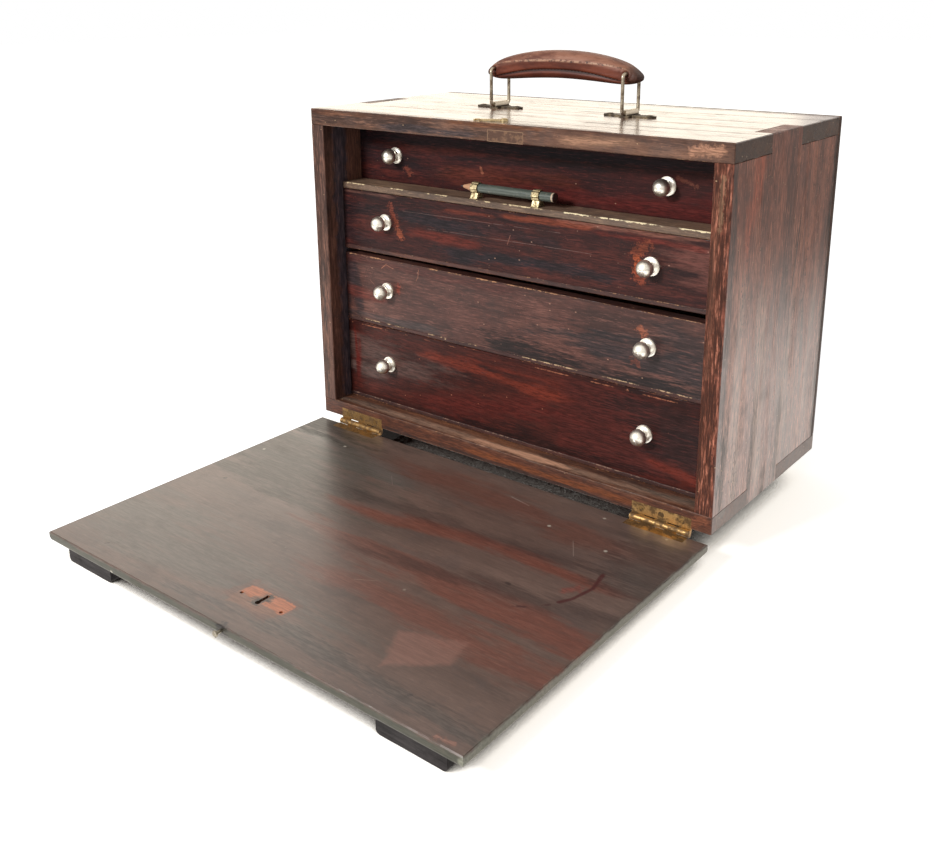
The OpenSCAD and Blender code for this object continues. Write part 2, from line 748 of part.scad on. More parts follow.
// One plate: two rounded ears and a raised saddle that the ring's lower bar turns in
module handle_plate(s) at_case() translate([s * ring_span / 2, handle_y, case_h])
    difference() {
        union() {
            linear_extrude(plate_t) {
                square([plate_l - plate_w, plate_w], center = true);
                for (e = [-1, 1])
                    translate([e * (plate_l - plate_w) / 2, 0]) circle(plate_w / 2);
                square([2 * saddle_r + 3, saddle_l], center = true);
            }
            intersection() {
                rod_y(0, -saddle_l / 2, saddle_l / 2, ring_low, saddle_r);
                translate([-plate_l / 2, -plate_l / 2, 0]) cube([plate_l, plate_l, plate_l]);
            }
            span(-saddle_r, saddle_r, -saddle_l / 2, saddle_l / 2, 0, ring_low);
        }
        rod_y(0, -saddle_l, saddle_l, ring_low, wire_r + pin_gap);
        for (e = [-1, 1])
            rod_z(e * plate_screw_x, 0, -cut, plate_t + cut, screw_r + screw_gap);
    }
module handle_plate_left() color("#6b6350") handle_plate(-1);
module handle_plate_right() color("#6b6350") handle_plate(1);
module handle_plate_screws() color("#57503f") at_case() plate_screws() dome_screw();

module ring_corner() rotate_extrude(angle = 90) translate([ring_bend, 0]) circle(wire_r);
module wire_ring(s) at_case()
    translate([s * ring_span / 2, handle_y, case_h + ring_low]) {
        for (z = [0, ring_h])
            rod_y(0, -(ring_half - ring_bend), ring_half - ring_bend, z, wire_r);
        for (e = [-1, 1])
            rod_z(0, e * ring_half, ring_bend, ring_h - ring_bend, wire_r);
        for (e = [0, 1], u = [0, 1])
            translate([0, 0, u * ring_h]) mirror([0, 0, u]) mirror([0, e, 0])
                translate([0, ring_half - ring_bend, ring_bend])
                    rotate([0, 90, 0]) ring_corner();
    }
module ring_left() color("#8d8474") wire_ring(-1);
module ring_right() color("#8d8474") wire_ring(1);

// Leather grip: an arched body whose section swells to the middle and thins to its ends
grip_steps = 26;
grip_sides = 32;
// Two seam grooves run along the grip, low on its front and on its rear face
seam_angle = 214;
seam_depth = 0.9;
seam_half = 9;
grip_z = ring_low + ring_h + grip_rise;
function grip_thin(t) = 1 - 0.33 * pow(abs(t), 2.2) - 0.42 * pow(abs(t), 10);
function grip_narrow(t) = 1 - 0.22 * pow(abs(t), 2.5) - 0.25 * pow(abs(t), 12);
function squared(v, p) = sign(v) * pow(abs(v), p);
function seam_cut(a, t) =
    seam_depth * (1 - t * t)
    * (exp(-pow((a - seam_angle) / seam_half, 2)) + exp(-pow((a - 540 + seam_angle) / seam_half, 2)));
function grip_ring(t) = [
    for (k = [0 : grip_sides - 1])
        let (a = 360 * k / grip_sides, inward = 1 - seam_cut(a, t) / (grip_h / 2))
        [t * grip_l / 2,
         grip_w / 2 * grip_narrow(t) * inward * squared(cos(a), 0.75),
         grip_z - grip_arch * t * t
             + grip_h / 2 * grip_thin(t) * inward * squared(sin(a), 0.8)]
];
function skin_faces(rings, sides) = concat(
    [for (j = [0 : rings - 2], k = [0 : sides - 1])
        let (a = j * sides + k, b = j * sides + (k + 1) % sides)
        each [[a, b, b + sides], [a, b + sides, a + sides]]],
    [[for (k = [sides - 1 : -1 : 0]) k]],
    [[for (k = [0 : sides - 1]) (rings - 1) * sides + k]]
);
module handle_grip() color("#7a3f2c") at_case() translate([0, handle_y, case_h])
    difference() {
        polyhedron(
            points = [for (j = [0 : grip_steps]) each grip_ring(2 * j / grip_steps - 1)],
            faces = skin_faces(grip_steps + 1, grip_sides)
        );
        rod_y(-ring_span / 2, -grip_w, grip_w, ring_low + ring_h, wire_r + pin_gap);
        rod_y(ring_span / 2, -grip_w, grip_w, ring_low + ring_h, wire_r + loose_gap);
    }

top_board();
bottom_board();
left_side();
right_side();
back_panel();
case_feet();
drawer_runners();
strike_plate();
strike_screws();
handle_plate_left();
handle_plate_right();
handle_plate_screws();
hinge_leaf_case_left();
hinge_leaf_case_right();
hinge_pins();
hinge_screws_case();
fall_front();
front_blocks();
hinge_leaf_front_left();
hinge_leaf_front_right();
hinge_screws_front();
hook_stud();
top_hook();
hook_screw();
drawer_front(0);  // drawer_1_front
drawer_sides(0);  // drawer_1_sides
drawer_back(0);  // drawer_1_back
drawer_floor(0);  // drawer_1_floor
drawer_knobs(0);  // drawer_1_knobs
drawer_knob_screws(0);  // drawer_1_knob_screws
drawer_front(1);  // drawer_2_front
drawer_sides(1);  // drawer_2_sides
drawer_back(1);  // drawer_2_back
drawer_floor(1);  // drawer_2_floor
drawer_knobs(1);  // drawer_2_knobs
drawer_knob_screws(1);  // drawer_2_knob_screws
drawer_front(2);  // drawer_3_front
drawer_sides(2);  // drawer_3_sides
drawer_back(2);  // drawer_3_back
drawer_floor(2);  // drawer_3_floor
drawer_knobs(2);  // drawer_3_knobs
drawer_knob_screws(2);  // drawer_3_knob_screws
drawer_front(3);  // drawer_4_front
drawer_sides(3);  // drawer_4_sides
drawer_back(3);  // drawer_4_back
drawer_floor(3);  // drawer_4_floor
drawer_knobs(3);  // drawer_4_knobs
drawer_knob_screws(3);  // drawer_4_knob_screws
pencil_clips();
pencil_wood();
pencil_lead();
ring_left();
ring_right();
handle_grip();
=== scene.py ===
# %% [markdown]
# # An engineer's tool chest, dressed for its picture
# The chest is already built as solids: boards, drawers, hinges and a handle, each a named
# node that moves with a body. This script gives every visible node its finish, makes new
# pieces where a plain solid can't show wear or leather, and sets up floor, lamps and camera.
# The first cell opens the packed chest.

# %% Open the packed chest
import fnmatch
import functools
import json
import math

import bmesh
import bpy
from mathutils import Matrix, Vector

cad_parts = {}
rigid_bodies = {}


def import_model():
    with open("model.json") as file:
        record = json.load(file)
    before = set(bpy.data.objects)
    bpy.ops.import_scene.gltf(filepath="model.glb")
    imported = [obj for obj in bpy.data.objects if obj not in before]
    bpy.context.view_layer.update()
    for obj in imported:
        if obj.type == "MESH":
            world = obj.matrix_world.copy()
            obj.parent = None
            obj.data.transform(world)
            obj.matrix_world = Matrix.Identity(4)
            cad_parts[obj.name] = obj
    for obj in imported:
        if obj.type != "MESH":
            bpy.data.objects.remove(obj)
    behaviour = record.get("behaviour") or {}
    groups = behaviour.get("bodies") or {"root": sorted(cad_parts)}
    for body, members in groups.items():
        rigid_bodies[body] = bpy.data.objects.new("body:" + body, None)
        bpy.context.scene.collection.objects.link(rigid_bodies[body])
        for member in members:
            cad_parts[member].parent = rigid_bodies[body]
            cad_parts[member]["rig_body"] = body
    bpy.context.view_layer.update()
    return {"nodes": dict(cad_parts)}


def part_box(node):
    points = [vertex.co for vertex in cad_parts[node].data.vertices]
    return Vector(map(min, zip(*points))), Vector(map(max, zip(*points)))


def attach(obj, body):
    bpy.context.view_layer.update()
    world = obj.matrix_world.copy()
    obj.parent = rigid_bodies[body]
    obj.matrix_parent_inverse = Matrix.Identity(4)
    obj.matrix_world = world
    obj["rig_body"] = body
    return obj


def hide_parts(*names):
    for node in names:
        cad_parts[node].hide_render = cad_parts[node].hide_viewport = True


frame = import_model()
nodes = frame["nodes"]

# %% [markdown]
# ## Millimetres of the case
# Marks on old wood are easiest to place with a ruler: so many millimetres from the middle,
# from the front and from the underside of the case. Blender works in metres from the middle
# of the ground, so one small function turns the first into the second. It could be an empty
# at the corner of the case, but a piece must keep its origin in the world's, so numbers do it.

# %% A ruler on the case
MM = 0.001
CASE_CORNER = Vector((0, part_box("bottom_board")[0].y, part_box("bottom_board")[0].z))


def at(x, y, z):
    """A place in millimetres: from the middle, the front and the underside of the case."""
    return CASE_CORNER + MM * Vector((x, y, z))


def points_in(plane, places):
    """Places as points. Two numbers lie in the plane, which is an axis and a height on it."""
    points = []
    for place in places:
        if len(place) == 2:
            place = list(place)
            place.insert("XYZ".index(plane[0]), plane[1])
        points.append(place if isinstance(place, Vector) else at(*place))
    return points


print("front corner of the case at", CASE_CORNER)

# %% [markdown]
# ## Camera
# The picture was taken from the right and from a little above the lid of the chest. Its
# place was found by fitting the case's edges, so it is written here as measured: a point, two
# angles and a small roll. The horizon sits above the middle of the image, which a shifted
# lens gives without tilting the upright edges.

# %% Camera
IMAGE_WIDTH, IMAGE_HEIGHT = 935, 841
SENSOR, FOCAL_PIXELS, CENTRE_ROW = 36, 1054.36, 310
CAMERA_PLACE, CAMERA_ANGLES = at(493.55, -646.64, 378.42), (-38.74, 16.6, -0.53)
turn, dip, roll = (math.radians(angle) for angle in CAMERA_ANGLES)
ahead = Vector((math.sin(turn) * math.cos(dip), math.cos(turn) * math.cos(dip), -math.sin(dip)))
level = ahead.cross(Vector((0, 0, 1))).normalized()
above = level.cross(ahead)
right = level * math.cos(roll) + above * math.sin(roll)
up = above * math.cos(roll) - level * math.sin(roll)

camera_data = bpy.data.cameras.new("camera")
camera_data.sensor_width = SENSOR
camera_data.lens = SENSOR * FOCAL_PIXELS / IMAGE_WIDTH
camera_data.shift_y = (CENTRE_ROW - IMAGE_HEIGHT / 2) / IMAGE_WIDTH
camera = bpy.data.objects.new("camera", camera_data)
camera.matrix_world = Matrix.Translation(CAMERA_PLACE) @ Matrix(
    (right, up, -ahead)).transposed().to_4x4()
bpy.context.scene.collection.objects.link(camera)
bpy.context.scene.camera = camera
print("lens", round(camera_data.lens, 2), "mm, shift", round(camera_data.shift_y, 4))

# %% [markdown]
# ## Nodes without clicking
# A finish is a graph of shader nodes, and a repeated piece is a graph of geometry nodes.
# Drawing them by hand would leave nothing to read, so one function adds any node: settings
# go on first, because they decide which sockets exist, then values or links fill the sockets.

# %% One way to add a node
def add(tree, kind, settings=None, sockets=None):
    """Adds a node of this kind, sets it up, and fills its sockets with values or links."""
    node = tree.nodes.new(kind)
    for name, value in (settings or {}).items():
        setattr(node, name, value)
    for name, value in (sockets or {}).items():
        value = getattr(value, "socket", value)
        if isinstance(value, bpy.types.NodeSocket):
            tree.links.new(value, node.inputs[name])
        else:
            node.inputs[name].default_value = value
    return node


print("nodes are added by", add.__name__)

# %% [markdown]
# ## Shader maths as Python
# Wear on an edge is arithmetic: one minus the distance, times some noise. Math nodes can do
# it, but a chain of them is hard to follow. `Amount` wraps a socket so that `1 - wear * 0.5`
# adds those nodes by itself. Colours never pass through it, since a Math node greys them:
# three numbers from 0 to 255 are a colour as a screen shows it, and `tone` makes it linear.

# %% Numbers that flow through a finish
class Amount:
    """A number that changes over a surface. Python's operators on it add Math nodes."""

    def __init__(self, finish, socket):
        self.finish, self.socket = finish, socket

    def __add__(self, other):
        return self.finish.maths("ADD", self, other)

    def __sub__(self, other):
        return self.finish.maths("SUBTRACT", self, other)

    def __rsub__(self, other):
        return self.finish.maths("SUBTRACT", other, self)

    def __mul__(self, other):
        return self.finish.maths("MULTIPLY", self, other)

    __radd__, __rmul__ = __add__, __mul__


def tone(colour):
    """A colour read off a screen as the linear colour that a shader wants."""
    return tuple(((c / 255 + 0.055) / 1.055) ** 2.4 if c > 10 else c / 3295
                 for c in colour) + (1.0,)


def deeper(colour, share):
    return tuple(min(c * share, 1.0) for c in tone(colour)[:3]) + (1.0,)


print("old mahogany:", [round(c, 3) for c in tone((98, 52, 40))])

# %% [markdown]
# ## A finish
# Each material is built by the same small kit: noise for what is random, a ramp for where it
# starts and stops, a blend to lay one colour over another, and distances for marks that lie
# in one place. Everything is measured in Object coordinates, so a pattern stays on its board
# when a drawer slides, and nothing depends on where the camera stands.

class Finish:
    """One material and the few steps that its layers are made of."""

    def __init__(self, name):
        self.material = bpy.data.materials.new(name)
        self.material.use_nodes = True
        self.tree = self.material.node_tree
        self.tree.nodes.clear()
        coordinates = self.add("ShaderNodeTexCoord")
        self.place, self.facing = coordinates.outputs["Object"], coordinates.outputs["Normal"]

    def add(self, kind, settings=None, sockets=None):
        return add(self.tree, kind, settings, sockets)

    def maths(self, operation, *values, clamp=False):
        node = self.add("ShaderNodeMath", {"operation": operation, "use_clamp": clamp},
                        dict(enumerate(values)))
        return Amount(self, node.outputs[0])

    def least(self, amounts):
        return functools.reduce(lambda one, two: self.maths("MINIMUM", one, two), amounts)

    def vectors(self, operation, *values, **sockets):
        """A Vector Math step. Dot products and distances come back as an Amount."""
        node = self.add("ShaderNodeVectorMath", {"operation": operation},
                        {**dict(enumerate(values)), **sockets})
        if operation in ("DOT_PRODUCT", "DISTANCE"):
            return Amount(self, node.outputs["Value"])
        return node.outputs[0]

    def ramp(self, amount, start, stop):
        """0 before start and 1 after stop, smoothly. start may be the larger one."""
        node = self.add("ShaderNodeMapRange", {"interpolation_type": "SMOOTHSTEP"},
                        {"Value": amount, "From Min": start, "From Max": stop})
        return Amount(self, node.outputs[0])

    def noise(self, place, scale, detail=2.0, rough=0.5, twist=0.0):
        node = self.add("ShaderNodeTexNoise", None, {
            "Vector": place, "Scale": scale, "Detail": detail, "Roughness": rough,
            "Distortion": twist})
        return Amount(self, node.outputs[0])

    def stretch(self, place, scale, shift=(0, 0, 0)):
        return self.add("ShaderNodeMapping", None, {
            "Vector": place, "Scale": scale, "Location": shift}).outputs[0]

    def blend(self, amount, under, over):
        """One colour over another. Three numbers are taken as a screen's colour."""
        under, over = (tone(c) if isinstance(c, tuple) and len(c) == 3 else c
                       for c in (under, over))
        return self.add("ShaderNodeMix", {"data_type": "RGBA"},
                        {0: amount, 6: under, 7: over}).outputs[2]

    def layers(self, colour, *covers):
        """Blends covers over a colour in turn. Each is an amount and the colour it lays."""
        for amount, over in covers:
            colour = self.blend(amount, colour, over)
        return colour

    def split(self, vector):
        node = self.add("ShaderNodeSeparateXYZ", None, {0: vector})
        return [Amount(self, socket) for socket in node.outputs]

    def near(self, start, end, place=None):
        """Distance from the line between two points, in metres."""
        place, run = place or self.place, end - start
        if run.length < 1e-6:
            return self.vectors("DISTANCE", place, start)
        share = run / run.length_squared
        part = self.maths("ADD", self.vectors("DOT_PRODUCT", place, share), -start.dot(share),
                          clamp=True)
        foot = self.vectors("ADD", self.vectors("SCALE", run, Scale=part), start)
        return self.vectors("DISTANCE", place, foot)

    def path(self, points, place=None):
        """Distance from the line that joins all these points, in metres."""
        return self.least(self.near(*pair, place) for pair in zip(points, points[1:]))

    def inside(self, corners, reach=4 * MM):
        """How deep a place lies inside a flat outline with these corners, in metres. The
        outline reaches this far to both sides of its plane."""
        across = (corners[1] - corners[0]).cross(corners[2] - corners[1]).normalized()
        gaps = []
        for here, there in zip(corners, corners[1:] + corners[:1]):
            inward = across.cross(there - here).normalized()
            gaps.append(self.vectors("DOT_PRODUCT", self.place, inward) - here.dot(inward))
        off = self.vectors("DOT_PRODUCT", self.place, across) - corners[0].dot(across)
        return self.least(gaps + [reach - self.maths("ABSOLUTE", off)])

    def to_edge(self, low, high, tilt=0.0):
        """Distance from the nearest edge of a board with these corners, in metres."""
        x, y, z = self.split(self.place)
        if tilt:
            z = z - (x - low.x) * tilt
        gaps = [self.maths("MINIMUM", c - a, b - c) for c, a, b in zip((x, y, z), low, high)]
        most = self.maths("MAXIMUM", *gaps[:2])
        return self.maths("MAXIMUM", self.least(gaps[:2]), self.least([most, gaps[2]]))

    def done(self, colour, rough, metal=0.0, height=None, lift=0.3 * MM, constants=None):
        """Feeds the shader, with a bump of this many metres where there is a height."""
        sockets = {"Base Color": colour, "Roughness": rough, "Metallic": metal}
        if height is not None:
            sockets["Normal"] = self.add("ShaderNodeBump", None, {
                "Strength": 1.0, "Distance": lift, "Height": height}).outputs[0]
        shader = self.add("ShaderNodeBsdfPrincipled", None, {**sockets, **(constants or {})})
        self.add("ShaderNodeOutputMaterial", None, {"Surface": shader.outputs[0]})
        return self.material


def clad(finish, *patterns):
    """Puts a finish on the nodes whose names match."""
    names = [name for pattern in patterns for name in fnmatch.filter(nodes, pattern)]
    for name in names:
        nodes[name].data.materials[0] = finish
    print(finish.name, "on", len(names), "nodes")


print("a finish has", len([f for f in vars(Finish) if not f.startswith("_")]), "steps to use")

# %% [markdown]
# ## Floor, backdrop and lamps
# The chest stands on white paper in a bright room. The floor takes real light and so keeps
# the shadow, and a share of plain white is added where the camera or a reflection looks at
# it. How much of the open room a place can see decides that share, so the narrow slot
# between case and front stays dark. Further off it fades for reflections, as past the edge
# of the paper, which is why the side of the case is bright low down and brown near the top.
# One soft lamp stands in front to the left, and a weak wide one behind gives the top its
# gleam.

# %% Floor and backdrop
def looking(f):
    """Whether the camera, a reflection or something clear looks at the surface."""
    rays = f.add("ShaderNodeLightPath").outputs
    return [Amount(f, rays[f"Is {kind} Ray"]) for kind in ("Camera", "Glossy", "Transmission")]


WHITE, ROOM_LIGHT, FAR = (1, 1, 1, 1), 0.36, 9
stage_mesh = bpy.data.meshes.new("floor")
stage_mesh.from_pydata([(-FAR, -FAR, 0), (FAR, -FAR, 0), (FAR, FAR, 0), (-FAR, FAR, 0)], [],
                       [(0, 1, 2, 3)])
floor = bpy.data.objects.new("floor", stage_mesh)
bpy.context.scene.collection.objects.link(floor)

paper = Finish("white_paper")
eye, mirror, glass = looking(paper)
close_by = paper.ramp(paper.vectors("DISTANCE", paper.place, (0, 0.05, 0)), 1.2, 0.45)
open_air = Amount(paper, paper.add("ShaderNodeAmbientOcclusion", {"samples": 8}, {
    "Distance": 0.16}).outputs["AO"])
glow = eye * paper.ramp(open_air, 0.15, 0.38) * 0.8 + (mirror + glass) * (close_by * 1.2)
# painted shade on the floor: where little of the open room is seen, its own colour turns near
# black to the camera, and near the chest its glow is tinted warm cream as in a soft shadow
dim = paper.layers((0.8, 0.8, 0.8, 1), (mirror * (1 - close_by), (0.5, 0.46, 0.42, 1)),
                   (eye * paper.ramp(open_air, 0.36, 0.22), (0.06, 0.05, 0.045, 1)))
tint = paper.layers(WHITE, (paper.ramp(open_air, 0.95, 0.5), (1, 0.95, 0.86, 1)),
                    (mirror, (1, 0.92, 0.84, 1)))
white = paper.add("ShaderNodeBsdfDiffuse", None, {"Color": dim})
shine = paper.add("ShaderNodeEmission", None, {"Color": tint, "Strength": glow})
both = paper.add("ShaderNodeAddShader", None, {0: white.outputs[0], 1: shine.outputs[0]})
paper.add("ShaderNodeOutputMaterial", None, {"Surface": both.outputs[0]})
floor.data.materials.append(paper.material)


class Sky(Finish):
    """The world's own graph, worked with the same kit."""

    def __init__(self, tree):
        self.tree = tree


world = bpy.data.worlds.new("studio")
bpy.context.scene.world = world
world.use_nodes = True
world.node_tree.nodes.clear()
sky = Sky(world.node_tree)
eye, mirror, glass = looking(sky)
strength = sky.maths("MAXIMUM", eye, (mirror + glass) * 0.9) * (1 - ROOM_LIGHT) + ROOM_LIGHT
backdrop = sky.add("ShaderNodeBackground", None, {
    "Color": sky.blend(mirror, WHITE, (1, 0.93, 0.87, 1)), "Strength": strength})
sky.add("ShaderNodeOutputWorld", None, {"Surface": backdrop.outputs[0]})
print("floor and backdrop are white to the camera, the room gives", ROOM_LIGHT)


# %% Lamps
def lamp(name, place, aim, size, watts, colour=(1, 1, 1)):
    data = bpy.data.lights.new(name, "AREA")
    data.color = colour
    data.shape, data.size, data.size_y, data.energy = "RECTANGLE", *size, watts
    piece = bpy.data.objects.new(name, data)
    piece.location = place
    piece.rotation_euler = (Vector(aim) - Vector(place)).to_track_quat("-Z", "Y").to_euler()
    bpy.context.scene.collection.objects.link(piece)


lamp("front_lamp", (-0.62, -2.05, 1.32), (0, 0, 0.1), (0.5, 0.4), 50)
lamp("gleam_lamp", (-2.2, 2.3, 0.75), (0, 0.1, 0.25), (3.2, 1.5), 15, (1, 0.89, 0.68))
bpy.context.scene.view_settings.view_transform = "Standard"
print("two lamps")

# %% [markdown]
# ## Old varnished wood
# All boards share one recipe: long streaks of grain, fine fibres across it, clouds of old
# dirt, and edges rubbed down to paler wood. A photograph wrapped round the board would be
# quicker, but it would not follow the grain round a corner. Here noise is stretched along
# the grain, so faces, edges and ends agree, and every board has its own shift and its marks.
# What varnish is left is a second, glossy coat on chosen faces, thin where it has gone dull.

# %% Wood
def grained(along, run, cross):
    """How often a pattern repeats each way, per metre, with the grain along this axis."""
    return tuple(run if axis == along else cross for axis in "XYZ")


def old_wood(name, tones, along="X", shift=0.0, board=None, tilt=0.0, raw=None, worn=0.35,
             grime=0.35, gloss=0.3, fleck=0.5, ior=1.45, coat=0.0, coat_ior=1.65, faces="",
             patchy=0.3, fine=1.0, lift=0.16, plane=None, marks=()):
    """Old varnished wood. tones are the dark, middle and light streaks, coat is the varnish
    that is left on the faces that look along these axes, patchy how dull it has gone, fine
    how clearly the fibres show, and plane is where the marks lie that have two numbers."""
    f = Finish(name)
    dark, middle, light = tones
    moved = f.stretch(f.place, (1, 1, 1), (shift, shift * 0.7, shift * 0.4))
    streak = f.noise(f.stretch(moved, grained(along, 6, 62)), 1.0, 6.0, 0.68, 0.7)
    fibre = f.noise(f.stretch(moved, grained(along, 44, 520)), 1.0, 4.0, 0.62)
    pore = f.noise(f.stretch(moved, grained(along, 130, 1500)), 1.0, 2.0, 0.6)
    cloud = f.noise(f.stretch(moved, grained(along, 10, 26)), 1.0, 5.0, 0.66)
    shade = streak * 0.5 + cloud * 0.5
    grain = fibre * 0.5 + pore * 0.5
    dirt = f.ramp(f.noise(moved, 30.0, 6.0, 0.72), 0.5, 0.64)
    facing = dict(zip("XYZ", (f.maths("ABSOLUTE", part) for part in f.split(f.facing))))
    grit = f.noise(moved, 900.0, 2.0, 0.6)
    rub = f.ramp(grit, 0.64, 0.72) * f.ramp(f.noise(moved, 40.0, 4.0, 0.7), 0.48, 0.6) * fleck
    pit = f.ramp(grit, 0.35, 0.28) * fleck
    colour = f.layers(
        dark, (f.ramp(shade, 0.38, 0.51), middle), (f.ramp(shade, 0.49, 0.62), light),
        (f.ramp(fibre, 0.49, 0.66) * (0.45 * fine), deeper(dark, 0.5)),
        (f.ramp(pore, 0.52, 0.68) * (0.5 * fine), deeper(dark, 0.4)),
        (f.ramp(grain, 0.47, 0.36) * (0.45 * fine), deeper(light, 1.7)),
        (dirt * grime, deeper((60, 52, 50), tone(dark)[0] * 18)),
        (f.ramp(facing[along], 0.6, 0.9) * 0.4, deeper(dark, 0.6)),
        (rub * 0.6, deeper(light, 2.6)), (pit * 0.7, deeper(dark, 0.3)))
    dulled = f.ramp(grain * 0.4 + streak * 0.6, 0.48, 0.6) * patchy
    look = {"colour": colour, "height": grain * 0.6 + streak * 0.2 - pit * 0.5, "grain": grain,
            "rough": gloss + fibre * 0.14 + dirt * 0.12 + rub * 0.15,
            "varnish": (1 - dulled) * coat, "along": along, "plane": plane}
    if board:
        gap = f.to_edge(*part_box(board), tilt)
        ragged = f.noise(moved, 260.0, 4.0, 0.75)
        broken = f.ramp(f.noise(moved, 70.0, 5.0, 0.75), 0.47, 0.57)
        reach = f.maths("MAXIMUM", (ragged * 5.6 - 2.0) * MM * worn, 0.1 * MM)
        rim = f.ramp(gap, reach, reach * 0.4) * broken
        look["colour"] = f.layers(colour, (f.ramp(gap, 5 * MM, 0.0) * 0.35, deeper(dark, 0.8)),
                                  (rim * 0.85, raw or light))
        look["rough"] = look["rough"] + rim * 0.2
        look["varnish"] = look["varnish"] * (1 - rim)
    for lay in marks:
        lay(f, look)
    constants = {"IOR": ior}
    if coat:
        broad = sum((facing[axis] for axis in faces), 0.0)
        constants.update({"Coat Weight": look["varnish"] * f.ramp(broad, 0.6, 0.9),
                          "Coat IOR": coat_ior, "Coat Roughness": gloss})
    return f.done(look["colour"], look["rough"], height=look["height"], lift=lift * MM,
                  constants=constants)


print("grain along X:", grained("X", 6, 62))

# %% [markdown]
# ## Marks
# What makes an old chest this chest is where it was hurt: the pale patch of a lock that is
# gone, bare wood round the knobs, long scratches, varnish chipped off an edge, stains that
# follow the grain. Each kind of mark is a step for the wood recipe that waits until it is
# given its board, so a board lists its marks in a line each. They could be painted in an
# image, but a distance plus noise stays sharp however near the camera comes. A few of the
# same stains and spots paint shade, a shadow and a reflection instead, where the light falls.

# %% Marks on wood
def lay_on(f, look, cover, strength, colour, dull=0.0, sink=0.0, torn=0.0, strip=0.0):
    """Lays a colour over the wood. torn is how far the fibres break it up, and strip is how
    much varnish goes with it."""
    if torn:
        cover = f.ramp(cover + cover * (look["grain"] - 0.48) * (torn * 3), 0.25, 1.05)
        swing = min(torn, 1.0)
        colour = f.blend(f.ramp(look["grain"], 0.4, 0.58), deeper(colour, 1 + 0.4 * swing),
                         deeper(colour, 1 - 0.5 * swing))
    cover = cover * strength
    look["colour"] = f.blend(cover, look["colour"], colour)
    if strip:
        look["varnish"] = look["varnish"] * (1 - cover * strip)
    if dull:
        look["rough"] = look["rough"] + cover * dull
    if sink:
        look["height"] = look["height"] - cover * sink


def covered(f, away, radius, wander, ragged, soft):
    """How much a mark of this radius in millimetres covers a place this far away."""
    depth = 1 - away * (1 / (radius * MM)) + (wander - 0.5) * (3.4 * ragged)
    rim, half = 0.4, soft * 0.7
    return f.ramp(depth, rim - half, rim + half)


def mark(recipe):
    """Lets a recipe be called with what it varies, and wait for its finish and its board."""
    @functools.wraps(recipe)
    def waiting(*values, **named):
        return lambda f, look: recipe(f, look, *values, **named)
    return waiting


@mark
def patch(f, look, corners, colour, strength=0.6, ragged=1.0, soft=1.5, dull=0.0, torn=1.0):
    """A flat outline in another colour. ragged and soft are in millimetres."""
    wander = (f.noise(f.place, 190.0, 5.0, 0.7) - 0.5) * (3 * ragged * MM)
    deep = f.inside(points_in(look["plane"], corners)) + wander
    lay_on(f, look, f.ramp(deep, -soft * MM, soft * MM), strength, colour, dull, torn=torn)


@mark
def blot_or_painted_shade(f, look, start, end, radius, colour, strength=0.8, ragged=1.5, soft=0.4, sink=0.0,
         fine=300.0, torn=1.0):
    """A torn spot or line of this radius in millimetres, a mark in most places and painted shade
    in one. ragged and soft are shares of it.
    """
    cover = covered(f, f.near(*points_in(look["plane"], (start, end))), radius,
                    f.noise(f.place, fine, 6.0, 0.78), ragged, soft)
    lay_on(f, look, cover, strength, colour, sink=sink, torn=torn)


@mark
def stain_or_painted_light(f, look, places, radius, colour, strength=0.7, ragged=0.9, soft=0.9, along=None,
          torn=1.0, strip=0.0):
    """A soft stain, painted shade or painted reflection along these places, running out with the
    grain.
    """
    along = along or look["along"]
    squeeze = Vector(grained(along, 0.22, 1.0))
    points = [point * squeeze for point in points_in(look["plane"], places)]
    wander = f.noise(f.stretch(f.place, grained(along, 16, 90)), 1.0, 6.0, 0.72)
    cover = covered(f, f.path(points, f.stretch(f.place, squeeze)), radius, wander, ragged, soft)
    lay_on(f, look, cover, strength, colour, torn=torn, strip=strip)


@mark
def scratch(f, look, places, width, colour, strength=0.5, gaps=0.35, wander=0.6):
    """A thin line, this many millimetres wide, that fades here and there."""
    away = f.path(points_in(look["plane"], places))
    away = away + (f.noise(f.place, 60.0, 2.0) - 0.5) * (wander * MM)
    line = f.ramp(f.maths("ABSOLUTE", away), width * MM, width * 0.3 * MM)
    line = line * f.ramp(f.noise(f.place, 75.0, 5.0, 0.75), gaps - 0.04, gaps + 0.08)
    lay_on(f, look, line, strength, colour, sink=0.6)


@mark
def chipped(f, look, start, end, width, colour, strength=0.6, gaps=0.5):
    """Varnish broken off along an edge, in lengths that come and go."""
    jag = f.noise(f.place, 420.0, 4.0, 0.75)
    deep = (jag * 3.2 - 0.9) * (width * MM) - f.near(*points_in(look["plane"], (start, end)))
    come = f.ramp(f.noise(f.place, 38.0, 5.0, 0.75), gaps - 0.03, gaps + 0.05)
    lay_on(f, look, f.ramp(deep, 0.0, 0.25 * MM) * come, strength, colour, 0.2)


@mark
def dashes(f, look, colour, amount=0.8, strength=0.8):
    """Short dark pits in rows along the grain."""
    rows = f.noise(f.stretch(f.place, grained(look["along"], 9, 70)), 1.0, 3.0, 0.6)
    dots = f.noise(f.stretch(f.place, grained(look["along"], 240, 620)), 1.0, 1.0)
    cover = f.ramp(dots, 0.66 - amount * 0.08, 0.7 - amount * 0.08) * f.ramp(rows, 0.5, 0.62)
    lay_on(f, look, cover, strength, colour, 0.1, 1.0)


@mark
def chips(f, look, colour, amount=0.6, density=330.0):
    """Small bright flecks where the varnish has jumped off."""
    cells = f.add("ShaderNodeTexVoronoi", None, {
        "Vector": f.stretch(f.place, (1, 1, 1.6)), "Scale": density / 2, "Randomness": 1.0})
    size = f.split(cells.outputs["Color"])[0]
    dots = f.ramp(Amount(f, cells.outputs["Distance"]), 0.15, 0.07) * f.ramp(
        size, 1 - amount * 0.12, 1 - amount * 0.06)
    lay_on(f, look, dots, 0.8, colour, sink=0.3)


print("marks:", [m.__name__ for m in (patch, blot_or_painted_shade, stain_or_painted_light, scratch, chipped, dashes, chips)])

